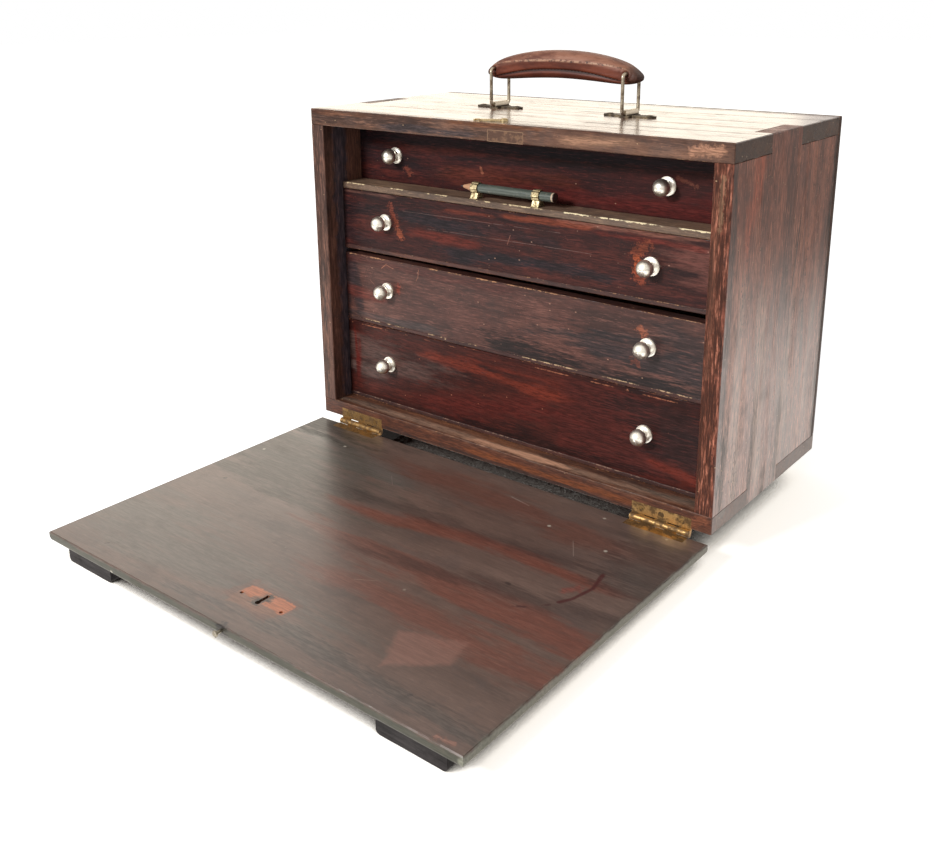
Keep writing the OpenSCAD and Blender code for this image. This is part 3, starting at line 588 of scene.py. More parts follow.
# %% [markdown]
# ## Boards with worn edges
# The solids have knife-sharp edges, which no wooden board has: an edge that catches no light
# looks like paper. A Bevel modifier would round every edge alike. Here the outer edges are
# bevelled and cut into short lengths, each new point remembers which way wood can wear off,
# and a small geometry tree moves it that way by noise. The rule is the same for every board,
# so the tree is built once and its depth and size are inputs.

# %% A tree that wears edges
def geometry_tree(name, inputs):
    """An empty geometry tree with these named inputs. Returns the tree, its inputs, and a
    function that adds a node and gives back one of its outputs, mostly the first."""
    tree = bpy.data.node_groups.new(name, "GeometryNodeTree")
    tree.interface.new_socket("Geometry", in_out="INPUT", socket_type="NodeSocketGeometry")
    for label, kind in inputs.items():
        tree.interface.new_socket(label, in_out="INPUT", socket_type="NodeSocket" + kind)
    tree.interface.new_socket("Geometry", in_out="OUTPUT", socket_type="NodeSocketGeometry")

    def step(kind, sockets=None, output=0, **settings):
        return add(tree, kind, settings, sockets).outputs[output]

    return tree, tree.nodes.new("NodeGroupInput").outputs, step


def close_tree(step, shape, material):
    """Every tree ends the same way: real geometry with its material."""
    real = step("GeometryNodeRealizeInstances", {"Geometry": shape})
    clothed = step("GeometryNodeSetMaterial", {"Geometry": real, "Material": material})
    tree = clothed.id_data
    tree.links.new(clothed, tree.nodes.new("NodeGroupOutput").inputs[0])
    print(tree.name + ":", len(tree.nodes), "nodes")


def grow(tree, mesh, name, values):
    """Runs a tree on a mesh and keeps the result as a plain mesh in an object of this name."""
    piece = bpy.data.objects.new(name, mesh)
    bpy.context.scene.collection.objects.link(piece)
    modifier = piece.modifiers.new(tree.name, "NODES")
    modifier.node_group = tree
    for item in tree.interface.items_tree:
        if item.in_out == "INPUT" and item.name in values:
            modifier[item.identifier] = values[item.name]
    made = piece.evaluated_get(bpy.context.evaluated_depsgraph_get())
    plain = bpy.data.meshes.new_from_object(made)
    piece.modifiers.remove(modifier)
    piece.data = plain
    return piece


wear_tree, given, step = geometry_tree("worn_edges", {
    "Depth": "Float", "Bite": "Float", "Seed": "Float", "Finish": "Material"})
bites = step("ShaderNodeTexNoise", {
    "Vector": step("GeometryNodeInputPosition"), "W": given["Seed"], "Scale": given["Bite"],
    "Detail": 3.0, "Roughness": 0.65}, noise_dimensions="4D")
deep = step("ShaderNodeMapRange", {"Value": bites, "From Min": 0.35, "From Max": 0.75})
amount = step("ShaderNodeMath", {0: deep, 1: given["Depth"]}, operation="MULTIPLY")
worn_way = step("GeometryNodeInputNamedAttribute", {"Name": "worn_way"},
                data_type="FLOAT_VECTOR")
offset = step("ShaderNodeVectorMath", {0: worn_way, "Scale": amount}, operation="SCALE")
close_tree(step, step("GeometryNodeSetPosition", {
    "Geometry": given["Geometry"], "Offset": offset}), given["Finish"])


# %% Boards with worn edges
FLAT, TOUCH = 0.9999, 2e-5
SMALL_FACE, SHORT_EDGE = 30 * MM**2, 5 * MM


def outer_planes(points, faces):
    """The flat sides that a whole board lies behind, as normal and distance."""
    planes = []
    for face in faces:
        normal, reach = face.normal, face.normal.dot(face.verts[0].co)
        upright = max(abs(part) for part in normal) > FLAT
        if upright and face.calc_area() > SMALL_FACE and max(
                p.dot(normal) for p in points) < reach + TOUCH:
            if not any(normal.dot(n) > FLAT for n, _ in planes):
                planes.append((normal.copy(), reach))
    return planes


def islands(shape):
    """The separate boards in a mesh, each as points in an order that is always the same."""
    left, groups = dict.fromkeys(shape.verts), []
    while left:
        group, edge = [], [left.popitem()[0]]
        while edge:
            vert = edge.pop()
            group.append(vert)
            for other in [link.other_vert(vert) for link in vert.link_edges]:
                if other in left:
                    del left[other]
                    edge.append(other)
        groups.append(group)
    return groups


def dressed(name, finish, width=0.6, depth=0.3, bite=90.0, pitch=4.0):
    """A board with bevelled, worn edges in place of a CAD node. Lengths in millimetres."""
    shape = bmesh.new()
    shape.from_mesh(nodes[name].data)
    bmesh.ops.remove_doubles(shape, verts=shape.verts, dist=2e-6)
    bmesh.ops.dissolve_limit(shape, angle_limit=0.006, verts=shape.verts, edges=shape.edges)
    shape.normal_update()
    walls, rims = [], []
    for group in islands(shape):
        faces = dict.fromkeys(face for vert in group for face in vert.link_faces)
        planes = outer_planes([v.co for v in group], faces)
        walls += planes
        for edge in dict.fromkeys(edge for vert in group for edge in vert.link_edges):
            outer = [sum(abs(n.dot(v.co) - d) < TOUCH for v in edge.verts) == 2
                     for n, d in planes]
            if sum(outer) == 2 and edge.calc_length() > SHORT_EDGE and edge.is_convex:
                rims.append(edge)
    bmesh.ops.bevel(shape, geom=rims, offset=width * MM, offset_type="OFFSET", segments=2,
                    profile=0.5, affect="EDGES", clamp_overlap=True)
    low, high = (Vector([pick(v.co[i] for v in shape.verts) for i in range(3)])
                 for pick in (min, max))
    for axis in range(3):
        count = int((high[axis] - low[axis]) / (pitch * MM)) if depth else 0
        normal = Vector([float(axis == i) for i in range(3)])
        for k in range(1, count if count > 8 else 0):
            shape.normal_update()
            bmesh.ops.bisect_plane(
                shape, geom=shape.verts[:] + shape.edges[:] + shape.faces[:], dist=1e-7,
                plane_co=low + normal * (high[axis] - low[axis]) * (k / count),
                plane_no=normal)
    way = shape.verts.layers.float_vector.new("worn_way")
    for vert in shape.verts:
        close = [normal for normal, reach in walls
                 if 1e-6 < reach - normal.dot(vert.co) < width * 0.6 * MM]
        if len(close) > 1:
            vert[way] = -sum(close, Vector())
    for face in shape.faces:
        face.smooth = False
    mesh = bpy.data.meshes.new(name + "_worn")
    shape.to_mesh(mesh)
    shape.free()
    piece = grow(wear_tree, mesh, name + "_worn", {
        "Depth": depth * MM, "Bite": bite, "Seed": float(len(name)), "Finish": finish})
    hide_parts(name)
    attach(piece, nodes[name]["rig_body"])
    print(piece.name, len(piece.data.polygons), "faces")


print("boards can be dressed")

# %% [markdown]
# ## The case
# Five boards, combed together at the corners. The top and bottom run across, the sides
# upright, so each has its own direction of grain. The top is the palest, the sides carry
# tall streaks, the right side and the back rows of worm holes, and the front edges are
# rubbed down to orange wood.

# %% Case boards
RAW, PALE, SOOT = (156, 108, 78), (206, 172, 132), (26, 20, 20)
TAN, UMBER = (150, 104, 62), (78, 50, 38)
CASE_FRONT, CASE_BACK, RIGHT_FACE = ("Y", 0), ("Y", 200), ("X", 200)

top_wood = old_wood(
    "top_wood", ((76, 52, 42), (108, 77, 63), (140, 102, 82)), "X", 0.31, "top_board",
    raw=(196, 152, 112), worn=0.5, gloss=0.22, fleck=0.7, ior=1.36, coat=1.0, coat_ior=1.62,
    faces="XZ", patchy=0.5, lift=0.25, plane=CASE_FRONT, marks=[
    stain_or_painted_light([(-194, 277), (-80, 279)], 9, (70, 52, 46), 0.8, 0.7),
    stain_or_painted_light([(-40, 275), (-10, 276)], 6, (70, 54, 48), 0.7, 0.8),
    stain_or_painted_light([(-178, 282), (-140, 282)], 3, (128, 84, 60), 0.5),
    stain_or_painted_light([(-108, 275), (-24, 275)], 4.6, (66, 58, 60), 0.8, 0.8),
    stain_or_painted_light([(76, 277), (112, 279)], 5.5, (176, 132, 104)),
    stain_or_painted_light([(-40, 283), (40, 283)], 2.6, (126, 78, 50)),
    blot_or_painted_shade((170, 277), (190, 279), 6, (186, 136, 108), 0.8, 0.9, 0.7),
    stain_or_painted_light([(-190, 4, 285), (90, 4, 285)], 5, (104, 60, 42), 0.9, strip=0.9),
    stain_or_painted_light([(-150, 50, 285), (20, 54, 285)], 3, TAN, 0.9, 1, strip=0.95),
    stain_or_painted_light([(-110, 96, 285), (60, 100, 285)], 3.4, TAN, 0.9, 1, strip=0.95),
    stain_or_painted_light([(-60, 140, 285), (90, 142, 285)], 4, TAN, 0.9, 1, strip=0.95),
    stain_or_painted_light([(-20, 20, 285), (130, 24, 285)], 3.2, UMBER, 0.9, 1, strip=0.95),
    stain_or_painted_light([(60, 44, 285), (190, 48, 285)], 3, UMBER, 0.9, 1, strip=0.95),
    stain_or_painted_light([(80, 78, 285), (196, 80, 285)], 3.6, TAN, 0.9, 1, strip=0.95),
    stain_or_painted_light([(20, 110, 285), (170, 114, 285)], 3, UMBER, 0.9, 1.1, strip=0.95),
    stain_or_painted_light([(100, 150, 285), (196, 154, 285)], 4, UMBER, 0.9, 1, strip=0.95),
    stain_or_painted_light([(40, 182, 285), (196, 184, 285)], 4, UMBER, 0.9, 1, strip=0.95),
    blot_or_painted_shade((195, 10, 285), (195, 180, 285), 5, UMBER, 0.7, 0.9, 0.6),
    chips(PALE)])
bottom_wood = old_wood(
    "bottom_wood", ((66, 42, 34), (102, 64, 46), (138, 90, 62)), "X", 0.83, "bottom_board",
    raw=(176, 128, 92), worn=0.6, grime=0.45, gloss=0.42, fleck=0.9, coat=0.8, coat_ior=1.5,
    faces="X", plane=CASE_FRONT, marks=[
    stain_or_painted_light([(-170, 8, 14), (170, 8, 14)], 9, (164, 132, 112), 0.75, 0.8),
    stain_or_painted_light([(-10, 7, 14), (50, 8, 14)], 7, (222, 168, 136), 0.85, 0.8, torn=0.5),
    blot_or_painted_shade((-200, 7), (200, 7), 12, (84, 42, 24), 0.9, 0.3, 0.6, fine=60),
    stain_or_painted_light([(-20, 6), (130, 6)], 4, (126, 66, 30), 0.7, 0.8),
    stain_or_painted_light([(160, 10, 14), (190, 16, 14)], 9, (108, 96, 84), 0.8, 0.7),
    stain_or_painted_light([(-194, 8, 14), (-150, 10, 14)], 8, (96, 78, 68), 0.8, 0.8),
    stain_or_painted_light([(-180, 3), (180, 1)], 2.4, (48, 28, 22), 0.8, 0.8),
    blot_or_painted_shade((184, 4), (194, 11), 6, (150, 88, 60), 0.6, 0.8, 0.7),
    chipped((-190, 14.2), (190, 14.2), 0.35, (190, 136, 100)),
    chips(PALE, 0.7)])
right_wood = old_wood(
    "right_wood", ((98, 53, 40), (152, 86, 66), (194, 128, 103)), "Z", 1.7, "right_side",
    raw=RAW, fleck=0.9, ior=1.3, coat=1.0, coat_ior=1.71, faces="X", patchy=0.4, fine=1.6,
    plane=RIGHT_FACE, marks=[
    stain_or_painted_light([(44, 274), (36, 240), (26, 190)], 9, (196, 98, 66), 0.85),
    stain_or_painted_light([(12, 80), (11, 6)], 9, (92, 86, 78), 0.8, strip=0.7),
    stain_or_painted_light([(63, 70), (60, 4)], 8, (92, 84, 76), 0.8, strip=0.7),
    stain_or_painted_light([(112, 60), (110, 4)], 8, (100, 90, 82), 0.75, strip=0.6),
    stain_or_painted_light([(88, 12), (88, 2)], 8, (100, 90, 82), 0.75, strip=0.7),
    stain_or_painted_light([(34, 30), (33, 6)], 7, (120, 104, 92), 0.6, strip=0.3),
    stain_or_painted_light([(26, 170), (30, 20)], 12, (190, 150, 130), 0.6),
    stain_or_painted_light([(60, 150), (74, 30)], 12, (198, 160, 140), 0.6),
    stain_or_painted_light([(120, 120), (116, 30)], 10, (190, 150, 130), 0.55),
    stain_or_painted_light([(166, 160), (162, 60)], 7, (176, 140, 124), 0.5),
    stain_or_painted_light([(5, 262), (6, 40)], 8, (66, 50, 46), 0.8, 0.8),
    stain_or_painted_light([(143, 130), (150, 70)], 4, (64, 50, 46)),
    stain_or_painted_light([(189, 262), (188, 10)], 9, (60, 50, 46), 0.85, 0.8, strip=0.65),
    stain_or_painted_light([(100, 280), (104, 180)], 16, (88, 48, 39), 0.6),
    stain_or_painted_light([(142, 244), (146, 190)], 12, (196, 120, 92), 0.75),
    stain_or_painted_light([(168, 250), (164, 170)], 9, (196, 124, 98), 0.75),
    stain_or_painted_light([(86, 236), (84, 200)], 8, (180, 108, 84)),
    stain_or_painted_light([(124, 215), (116, 150)], 1.3, SOOT, 0.8, 1.2, 0.6),
    stain_or_painted_light([(114, 152), (117, 90)], 1.1, SOOT, 0.75, 1.2, 0.6),
    stain_or_painted_light([(84, 190), (86, 140)], 0.9, SOOT, 0.7, 1.2, 0.6),
    dashes((44, 28, 24)),
    blot_or_painted_shade((191, 0, 268), (191, 0, 8), 13, (82, 43, 29), 0.95, 0.4, 0.6, fine=60),
    blot_or_painted_shade((84, 115), (84, 112), 1.2, SOOT, 0.8, 0.5, sink=1),
    blot_or_painted_shade((60, 132), (60, 130), 1, SOOT, 0.8, 0.5, sink=1),
    blot_or_painted_shade((122, 274), (119, 266), 1.6, SOOT, 0.8, 0.9, 0.5, sink=1),
    blot_or_painted_shade((193, 0, 262), (192, 0, 226), 3, (156, 120, 92), 0.6, 1, 0.7, torn=2),
    blot_or_painted_shade((190, 0, 250), (189, 0, 120), 3.4, (120, 76, 58), 0.5, 1, 0.7),
    chips(PALE)])
left_wood = old_wood(
    "left_wood", ((80, 56, 48), (114, 79, 67), (146, 104, 86)), "Z", 2.9, "left_side",
    raw=RAW, worn=0.4, grime=0.45, gloss=0.36, fleck=0.8, ior=1.33, plane=CASE_FRONT, marks=[
    stain_or_painted_light([(-194, 264), (-194, 120)], 13, (68, 47, 40), 0.8, 0.7),
    stain_or_painted_light([(-194, 110), (-194, 20)], 8, (104, 76, 62), 0.6),
    # painted shade: bluish grey over the inner face of the side near the front, which lies in
    # shadow
    blot_or_painted_shade((-186, 20, 262), (-186, 20, 20), 15, (82, 74, 82), 0.95, 0.4, 0.5, fine=60),
    stain_or_painted_light([(-194, 140), (-194, 90)], 4, (62, 54, 52), 0.6),
    blot_or_painted_shade((-194, 24), (-196, 60), 4, (70, 56, 52), 0.6, 0.9, 0.7),
    chips(PALE)])
back_wood = old_wood(
    "back_wood", ((60, 42, 36), (92, 64, 52), (118, 84, 66)), "X", 3.7, "back_panel",
    raw=RAW, worn=0.6, grime=0.5, gloss=0.46, plane=CASE_BACK, marks=[
    stain_or_painted_light([(-140, 210), (90, 200)], 26, (70, 48, 42), 0.6),
    stain_or_painted_light([(-60, 70), (150, 60)], 20, (132, 94, 74), 0.5),
    dashes((40, 26, 22), 0.9, 0.7),
    chips(PALE, 0.5)])

for name, finish in {"top_board": top_wood, "bottom_board": bottom_wood, "left_side": left_wood,
                     "right_side": right_wood, "back_panel": back_wood}.items():
    dressed(name, finish)

# %% [markdown]
# ## Fall front and blocks
# The front lies open with its inner face up, where it has gathered a century of small harm:
# the bare shape of the lock, its keyhole and screw holes, a stain, dents and dark bands. Its
# edges are grey and rubbed, and its outer face, which is hidden until it is shut, is darker.
# It is one board whose grain runs across. Its blocks, and the battens under the case, are
# dark wood painted near black, for the shade they stand in under the lid and the case.

# %% Fall front
INNER_FACE = ("Z", -5)
DARK_BAND, RED_WOOD, ASH = (56, 44, 40), (120, 66, 50), (96, 90, 82)
STUD = sum(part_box("hook_stud"), Vector()) / 2
front_wood = old_wood(
    "front_wood", ((89, 72, 64), (104, 83, 73), (118, 95, 84)), "X", 5.3, "fall_front",
    raw=(150, 142, 130), grime=0.3, gloss=0.33, fleck=0.35, ior=1.33, coat=1.0, coat_ior=1.66,
    faces="Z", patchy=0.1, fine=0.45, lift=0.08, plane=INNER_FACE, marks=[
    stain_or_painted_light([(-160, -36), (-84, -60)], 24, (86, 90, 86), 0.6, torn=0.4),
    stain_or_painted_light([(-180, -230), (-90, -250)], 50, ASH, torn=0.5),
    stain_or_painted_light([(-190, -60), (-120, -120)], 40, (88, 84, 76), torn=0.5, strip=0.4),
    stain_or_painted_light([(-198, -4), (-180, -26)], 24, (60, 58, 52), 0.85, torn=0.5, strip=0.75),
    stain_or_painted_light([(-20, -40), (150, -50)], 26, (108, 64, 50), 0.7, 0.8, torn=0.5),
    stain_or_painted_light([(-44, -120), (68, -99), (157, -102)], 12, RED_WOOD, 0.9, 0.7, torn=0.5),
    stain_or_painted_light([(25, -160), (185, -166)], 26, (126, 70, 54), 0.75, 0.8, torn=0.5),
    stain_or_painted_light([(60, -200), (180, -206)], 24, (122, 70, 55), 0.7, 0.8, torn=0.5),
    stain_or_painted_light([(-74, -104), (4, -96), (100, -90), (179, -82)], 13, DARK_BAND, 0.62, 0.9, 1.5,
          torn=0.4),
    stain_or_painted_light([(10, -164), (73, -154), (118, -144), (174, -135), (196, -130)], 13, DARK_BAND, 0.66,
          0.9, 1.5, torn=0.4),
    stain_or_painted_light([(47, -268), (180, -272)], 14, (82, 76, 70), 0.7, 0.8),
    stain_or_painted_light([(178, -30), (194, -96)], 16, (66, 58, 54), 0.6, 0.8),
    stain_or_painted_light([(-190, -20), (-120, -14)], 18, (70, 64, 58), 0.6, 0.8),
    stain_or_painted_light([(-60, -276), (-20, -272)], 8, (66, 60, 58), 0.6, 0.8),
    patch([(-203, -286, -13), (203, -286, -13), (203, -4, -13), (-203, -4, -13)], (74, 44, 35),
          0.75),
    patch([(111, -257), (145, -231), (139, -205), (94, -222)], (152, 108, 94), 0.6, 2.6, 5,
          torn=0.3),
    patch([(-32, -262), (20, -272), (30, -240), (-22, -236)], (112, 72, 58), 0.6, 5, 4, torn=0.5),
    patch([(-21, -268), (22, -262), (25.5, -251), (-21, -250)], (134, 94, 74), 0.7, 3, 2.6,
          torn=0.4),
    patch([(-20.5, -254), (24.5, -257), (24.5, -242.8), (-20, -243)], (192, 112, 74), 0.85, 2.4,
          1.4, dull=0.15, torn=0.6),
    blot_or_painted_shade((-3, -254), (1, -248), 9, (122, 92, 74), 0.8, 1.2, 0.7, fine=160),
    blot_or_painted_shade((-0.6, -256), (1.6, -248), 5.6, (58, 48, 40), 0.95, 0.9, 0.35, sink=1),
    blot_or_painted_shade((3, -251), (6, -250), 1.4, SOOT, 0.8, 0.8, sink=1),
    blot_or_painted_shade((-18, -255.3), (-18, -255.3), 1.5, SOOT, 0.9, 0.2, 0.3, sink=1),
    blot_or_painted_shade((21, -255.4), (21, -255.4), 1.5, SOOT, 0.9, 0.2, 0.3, sink=1),
    blot_or_painted_shade((-168, -148), (-167, -147), 2.6, SOOT, 0.7, 0.6, sink=1),
    blot_or_painted_shade((-150, -272), (-149, -271), 2.6, (60, 46, 40), 0.8, 0.6, sink=1),
    blot_or_painted_shade((143, -267), (144, -266), 2.4, (60, 52, 50), 0.7, 0.7, sink=1),
    blot_or_painted_shade((116, -136), (118, -136), 2.6, SOOT, 0.6, 0.6, 0.5, sink=1),
    scratch([(162, -87), (166, -106), (162, -125), (157, -134)], 2.2, (70, 24, 22), 0.9, 0.3,
            wander=2),
    scratch([(154, -140), (146, -150), (136, -156)], 1.4, (60, 26, 24), 0.8, 0.42, wander=2),
    blot_or_painted_shade((158, -112), (152, -120), 6, (146, 60, 46), 0.5, 0.8, 0.8),
    blot_or_painted_shade((178, -284), (190, -283), 3.2, (156, 112, 96), 0.8, 1, 0.5),
    blot_or_painted_shade((-200, -288, -10), (200, -288, -10), 7.5, (70, 71, 60), 0.95, 0.25, 0.5, fine=60,
         torn=0.4),
    blot_or_painted_shade(STUD, STUD, 9, SOOT, 0.9, 0.9, 0.6),
    blot_or_painted_shade((200, -287, -9), (200, -8, -9), 6, (150, 149, 132), 0.8, 0.3, 0.6, fine=60, torn=0.5),
    chipped((60, -287.8), (196, -287.8), 0.6, (156, 156, 146)),
    scratch([(42, -30), (62, -34)], 0.4, (190, 176, 164), 0.6),
    scratch([(120, -60), (132, -78)], 0.35, (170, 150, 138)),
    scratch([(30, -196), (44, -188)], 0.35, (170, 150, 138)),
    scratch([(-60, -60), (-48, -72)], 0.35, (170, 150, 138), 0.4),
    chips((196, 188, 172), 0.35, density=150)])
# painted shade: dark wood made near black for the shade the blocks and battens stand in, under
# the lid and under the case
foot_wood = old_wood("foot_wood", ((26, 24, 25), (38, 35, 36), (52, 48, 48)), "X", 7.1,
                     grime=0.3, gloss=0.6, ior=1.3)
dressed("fall_front", front_wood, width=0.8, depth=0.4)
dressed("front_blocks", foot_wood)
dressed("case_feet", foot_wood, depth=0.0)

# %% [markdown]
# ## Drawers
# Four mahogany fronts with ragged bare wood round their knobs. The lowest still glows red
# where the polish is good, the second has two long scratches, the top one stands back in
# shadow, which is also painted on it as a dark bluish band along its top and its left end.
# Their floors show as a thin strip below each front, chipped pale along the edge, and
# the top drawer's floor runs forward as the pencil tray.

# %% Drawer fronts
FACE, TOP_FACE = ("Y", 20.5), ("Y", 45)
BARE, RED, BLUE_BLACK = (150, 78, 54), (108, 44, 34), (36, 33, 38)
top_drawer = old_wood(
    "top_drawer_wood", ((38, 19, 20), (60, 27, 26), (84, 38, 33)), "X", 0.2, "drawer_1_front",
    raw=(120, 72, 54), worn=0.3, grime=0.3, gloss=0.38, fleck=0.7, ior=1.22, plane=TOP_FACE,
    marks=[
    stain_or_painted_light([(-60, 233), (30, 236)], 12, (94, 44, 32)),
    stain_or_painted_light([(20, 226), (180, 226)], 14, (96, 32, 28), 0.6),
    # painted shadow of the top board: the dark line near 248 mm where its edge falls and the
    # bluish band along the top; the bluish patch at the left end is painted shade
    stain_or_painted_light([(-100, 246), (60, 250)], 5, (30, 24, 28), 0.6),
    stain_or_painted_light([(-184, 246), (-150, 236)], 18, (36, 29, 33), 0.7, 0.8),
    stain_or_painted_light([(-180, 259), (180, 259)], 8, (24, 23, 30), 0.75, 0.6),
    blot_or_painted_shade((-129, 232), (-125, 228), 4.5, (120, 62, 48), soft=0.5),
    blot_or_painted_shade((-46, 241), (-44, 236), 1.8, (146, 86, 64), 0.8, 1, 0.5),
    blot_or_painted_shade((136, 250), (152, 245), 2.6, (120, 70, 56), 0.7, 1.2, 0.6, torn=2),
    chips((160, 120, 100), 0.7)])
second_drawer = old_wood(
    "second_drawer_wood", ((35, 22, 24), (56, 29, 28), (84, 41, 35)), "X", 0.9,
    "drawer_2_front", raw=(160, 112, 86), worn=0.45, grime=0.4, fleck=1.0, ior=1.27,
    plane=FACE, marks=[
    stain_or_painted_light([(-106, 196), (-52, 194)], 8, BLUE_BLACK, 0.85, 0.8),
    stain_or_painted_light([(-40, 171), (0, 173), (90, 172)], 9, BLUE_BLACK, 0.85),
    stain_or_painted_light([(172, 204), (184, 180)], 11, (124, 78, 69)),
    stain_or_painted_light([(-24, 197), (36, 194)], 6, (44, 31, 34)),
    stain_or_painted_light([(-182, 198), (-162, 196)], 9, (34, 27, 30), 0.85),
    stain_or_painted_light([(-180, 184), (-166, 170)], 9, (44, 34, 37), 0.6),
    stain_or_painted_light([(60, 211), (170, 212)], 3.4, (136, 88, 74), 0.75),
    stain_or_painted_light([(-178, 211), (-130, 211)], 3, (118, 80, 70)),
    stain_or_painted_light([(-92, 183), (-44, 180)], 6, RED, 0.75, 1, torn=1.6),
    stain_or_painted_light([(-150, 180), (-140, 176)], 8, (98, 40, 34), 0.6),
    stain_or_painted_light([(4, 208), (70, 209)], 3.6, (128, 62, 42), 0.8, 1.1, torn=1.6),
    stain_or_painted_light([(90, 206), (166, 206)], 4, (110, 44, 36), 0.7, 1),
    stain_or_painted_light([(-60, 207), (-20, 207)], 3, (116, 54, 40), 0.7, 1.1, torn=1.6),
    blot_or_painted_shade((-127, 203), (-123, 193), 5, (120, 60, 46), 0.8, 1.6, 0.5),
    blot_or_painted_shade((-118, 182), (-116, 177), 5.2, BARE, 0.9, 1.4),
    blot_or_painted_shade((-121, 190), (-119, 186), 3.4, (140, 72, 52), soft=0.5),
    blot_or_painted_shade((126, 202), (118, 196), 7.4, (134, 68, 48), soft=0.5),
    blot_or_painted_shade((120, 190), (119, 182), 6.2, (166, 82, 50), 0.95, 1.3),
    blot_or_painted_shade((118, 179), (124, 175), 4.6, (140, 68, 48), 0.85, 1.5, 0.5),
    scratch([(-112.7, 200.2), (-7.9, 201.3), (50.6, 202)], 0.36, (128, 100, 94), 0.5, 0.44),
    scratch([(-84.2, 188), (50.9, 189.5), (86.7, 189.4)], 0.36, (128, 100, 94), 0.5, 0.44),
    scratch([(0, 186), (3, 194)], 0.4, (150, 100, 84), 0.6, 0.4),
    chipped((-60, 161.5), (180, 160.5), 1.2, (176, 120, 92), 0.8, 0.52),
    chipped((-30, 166), (130, 168), 0.8, (170, 124, 100), 0.7, 0.6),
    chips((180, 140, 120), 1)])
third_drawer = old_wood(
    "third_drawer_wood", ((60, 38, 34), (88, 54, 47), (112, 74, 64)), "X", 2.3,
    "drawer_3_front", tilt=-0.0054, raw=(176, 124, 92), worn=0.5, grime=0.4, fleck=0.8,
    ior=1.4, plane=FACE, marks=[
    stain_or_painted_light([(-178, 138), (-170, 112)], 9, (48, 40, 44), 0.8, along="Z"),
    stain_or_painted_light([(-180, 120), (-150, 116)], 7, (116, 48, 36), 0.6),
    stain_or_painted_light([(90, 120), (180, 110)], 22, (42, 37, 40), 0.85, 0.8),
    stain_or_painted_light([(4, 99), (182, 96)], 14, (28, 17, 18), 0.95, 0.8),
    stain_or_painted_light([(-182, 98), (-90, 98)], 6, (60, 54, 54), 0.7, 0.8),
    stain_or_painted_light([(-176, 149), (0, 147)], 7, (74, 31, 26), 0.6),
    stain_or_painted_light([(150, 140), (180, 128)], 10, (42, 36, 38), 0.7, 0.8),
    blot_or_painted_shade((123, 138), (128, 135), 4.2, (156, 88, 62), 0.85),
    blot_or_painted_shade((118, 112), (123, 110), 3.6, (126, 66, 50), 0.7),
    blot_or_painted_shade((-121, 132), (-120, 126), 3.4, (136, 64, 50), 0.85),
    scratch([(-126, 146.5), (-134.7, 149), (-140, 145)], 0.5, (168, 110, 84), 0.7, 0.4),
    scratch([(-96, 150), (-97, 143), (-99, 140)], 0.45, (168, 110, 84), 0.6, 0.4),
    scratch([(-155, 132), (-148, 127)], 0.45, (150, 100, 80), 0.5, 0.4),
    chipped((-180, 153.4), (180, 152.2), 0.9, (196, 144, 104), 0.85),
    chips((186, 142, 118), 0.9)])
bottom_drawer = old_wood(
    "bottom_drawer_wood", ((36, 18, 18), (60, 27, 23), (82, 36, 29)), "X", 4.6,
    "drawer_4_front", raw=(160, 100, 72), worn=0.45, grime=0.25, fleck=0.8, ior=1.25,
    plane=FACE, marks=[
    # painted reflection: these two greyish patches at the left end stand for the white floor seen
    # mirrored in the varnish
    stain_or_painted_light([(-176, 64), (-124, 60)], 23, (96, 74, 68)),
    stain_or_painted_light([(-180, 46), (-158, 42)], 10, (104, 84, 78)),
    stain_or_painted_light([(-80, 74), (-40, 72), (40, 66)], 8, (122, 50, 35), 0.8, 1, torn=1.6),
    stain_or_painted_light([(-48, 79), (44, 77)], 4.5, (108, 44, 33), 0.75, 1, torn=2),
    stain_or_painted_light([(-78, 32), (30, 50)], 12, (96, 36, 30), 0.7, 1, torn=1.6),
    patch([(51, 14), (152, 14), (142, 86), (53, 86)], (84, 34, 29), 0.45, 1.4, 2),
    stain_or_painted_light([(-176, 72), (-174, 49)], 6, (106, 32, 25), 0.8, 0.8, along="Z"),
    stain_or_painted_light([(150, 76), (180, 40)], 16, (40, 27, 27)),
    stain_or_painted_light([(140, 34), (176, 28)], 6, (118, 46, 33), 0.8, 1.1, torn=2),
    stain_or_painted_light([(0, 20), (120, 22)], 5, (38, 22, 21)),
    chipped((-180, 87.5), (180, 86.8), 0.7, (176, 110, 82), 0.8, 0.53),
    chips((196, 124, 96), 0.7)])
print("four fronts")

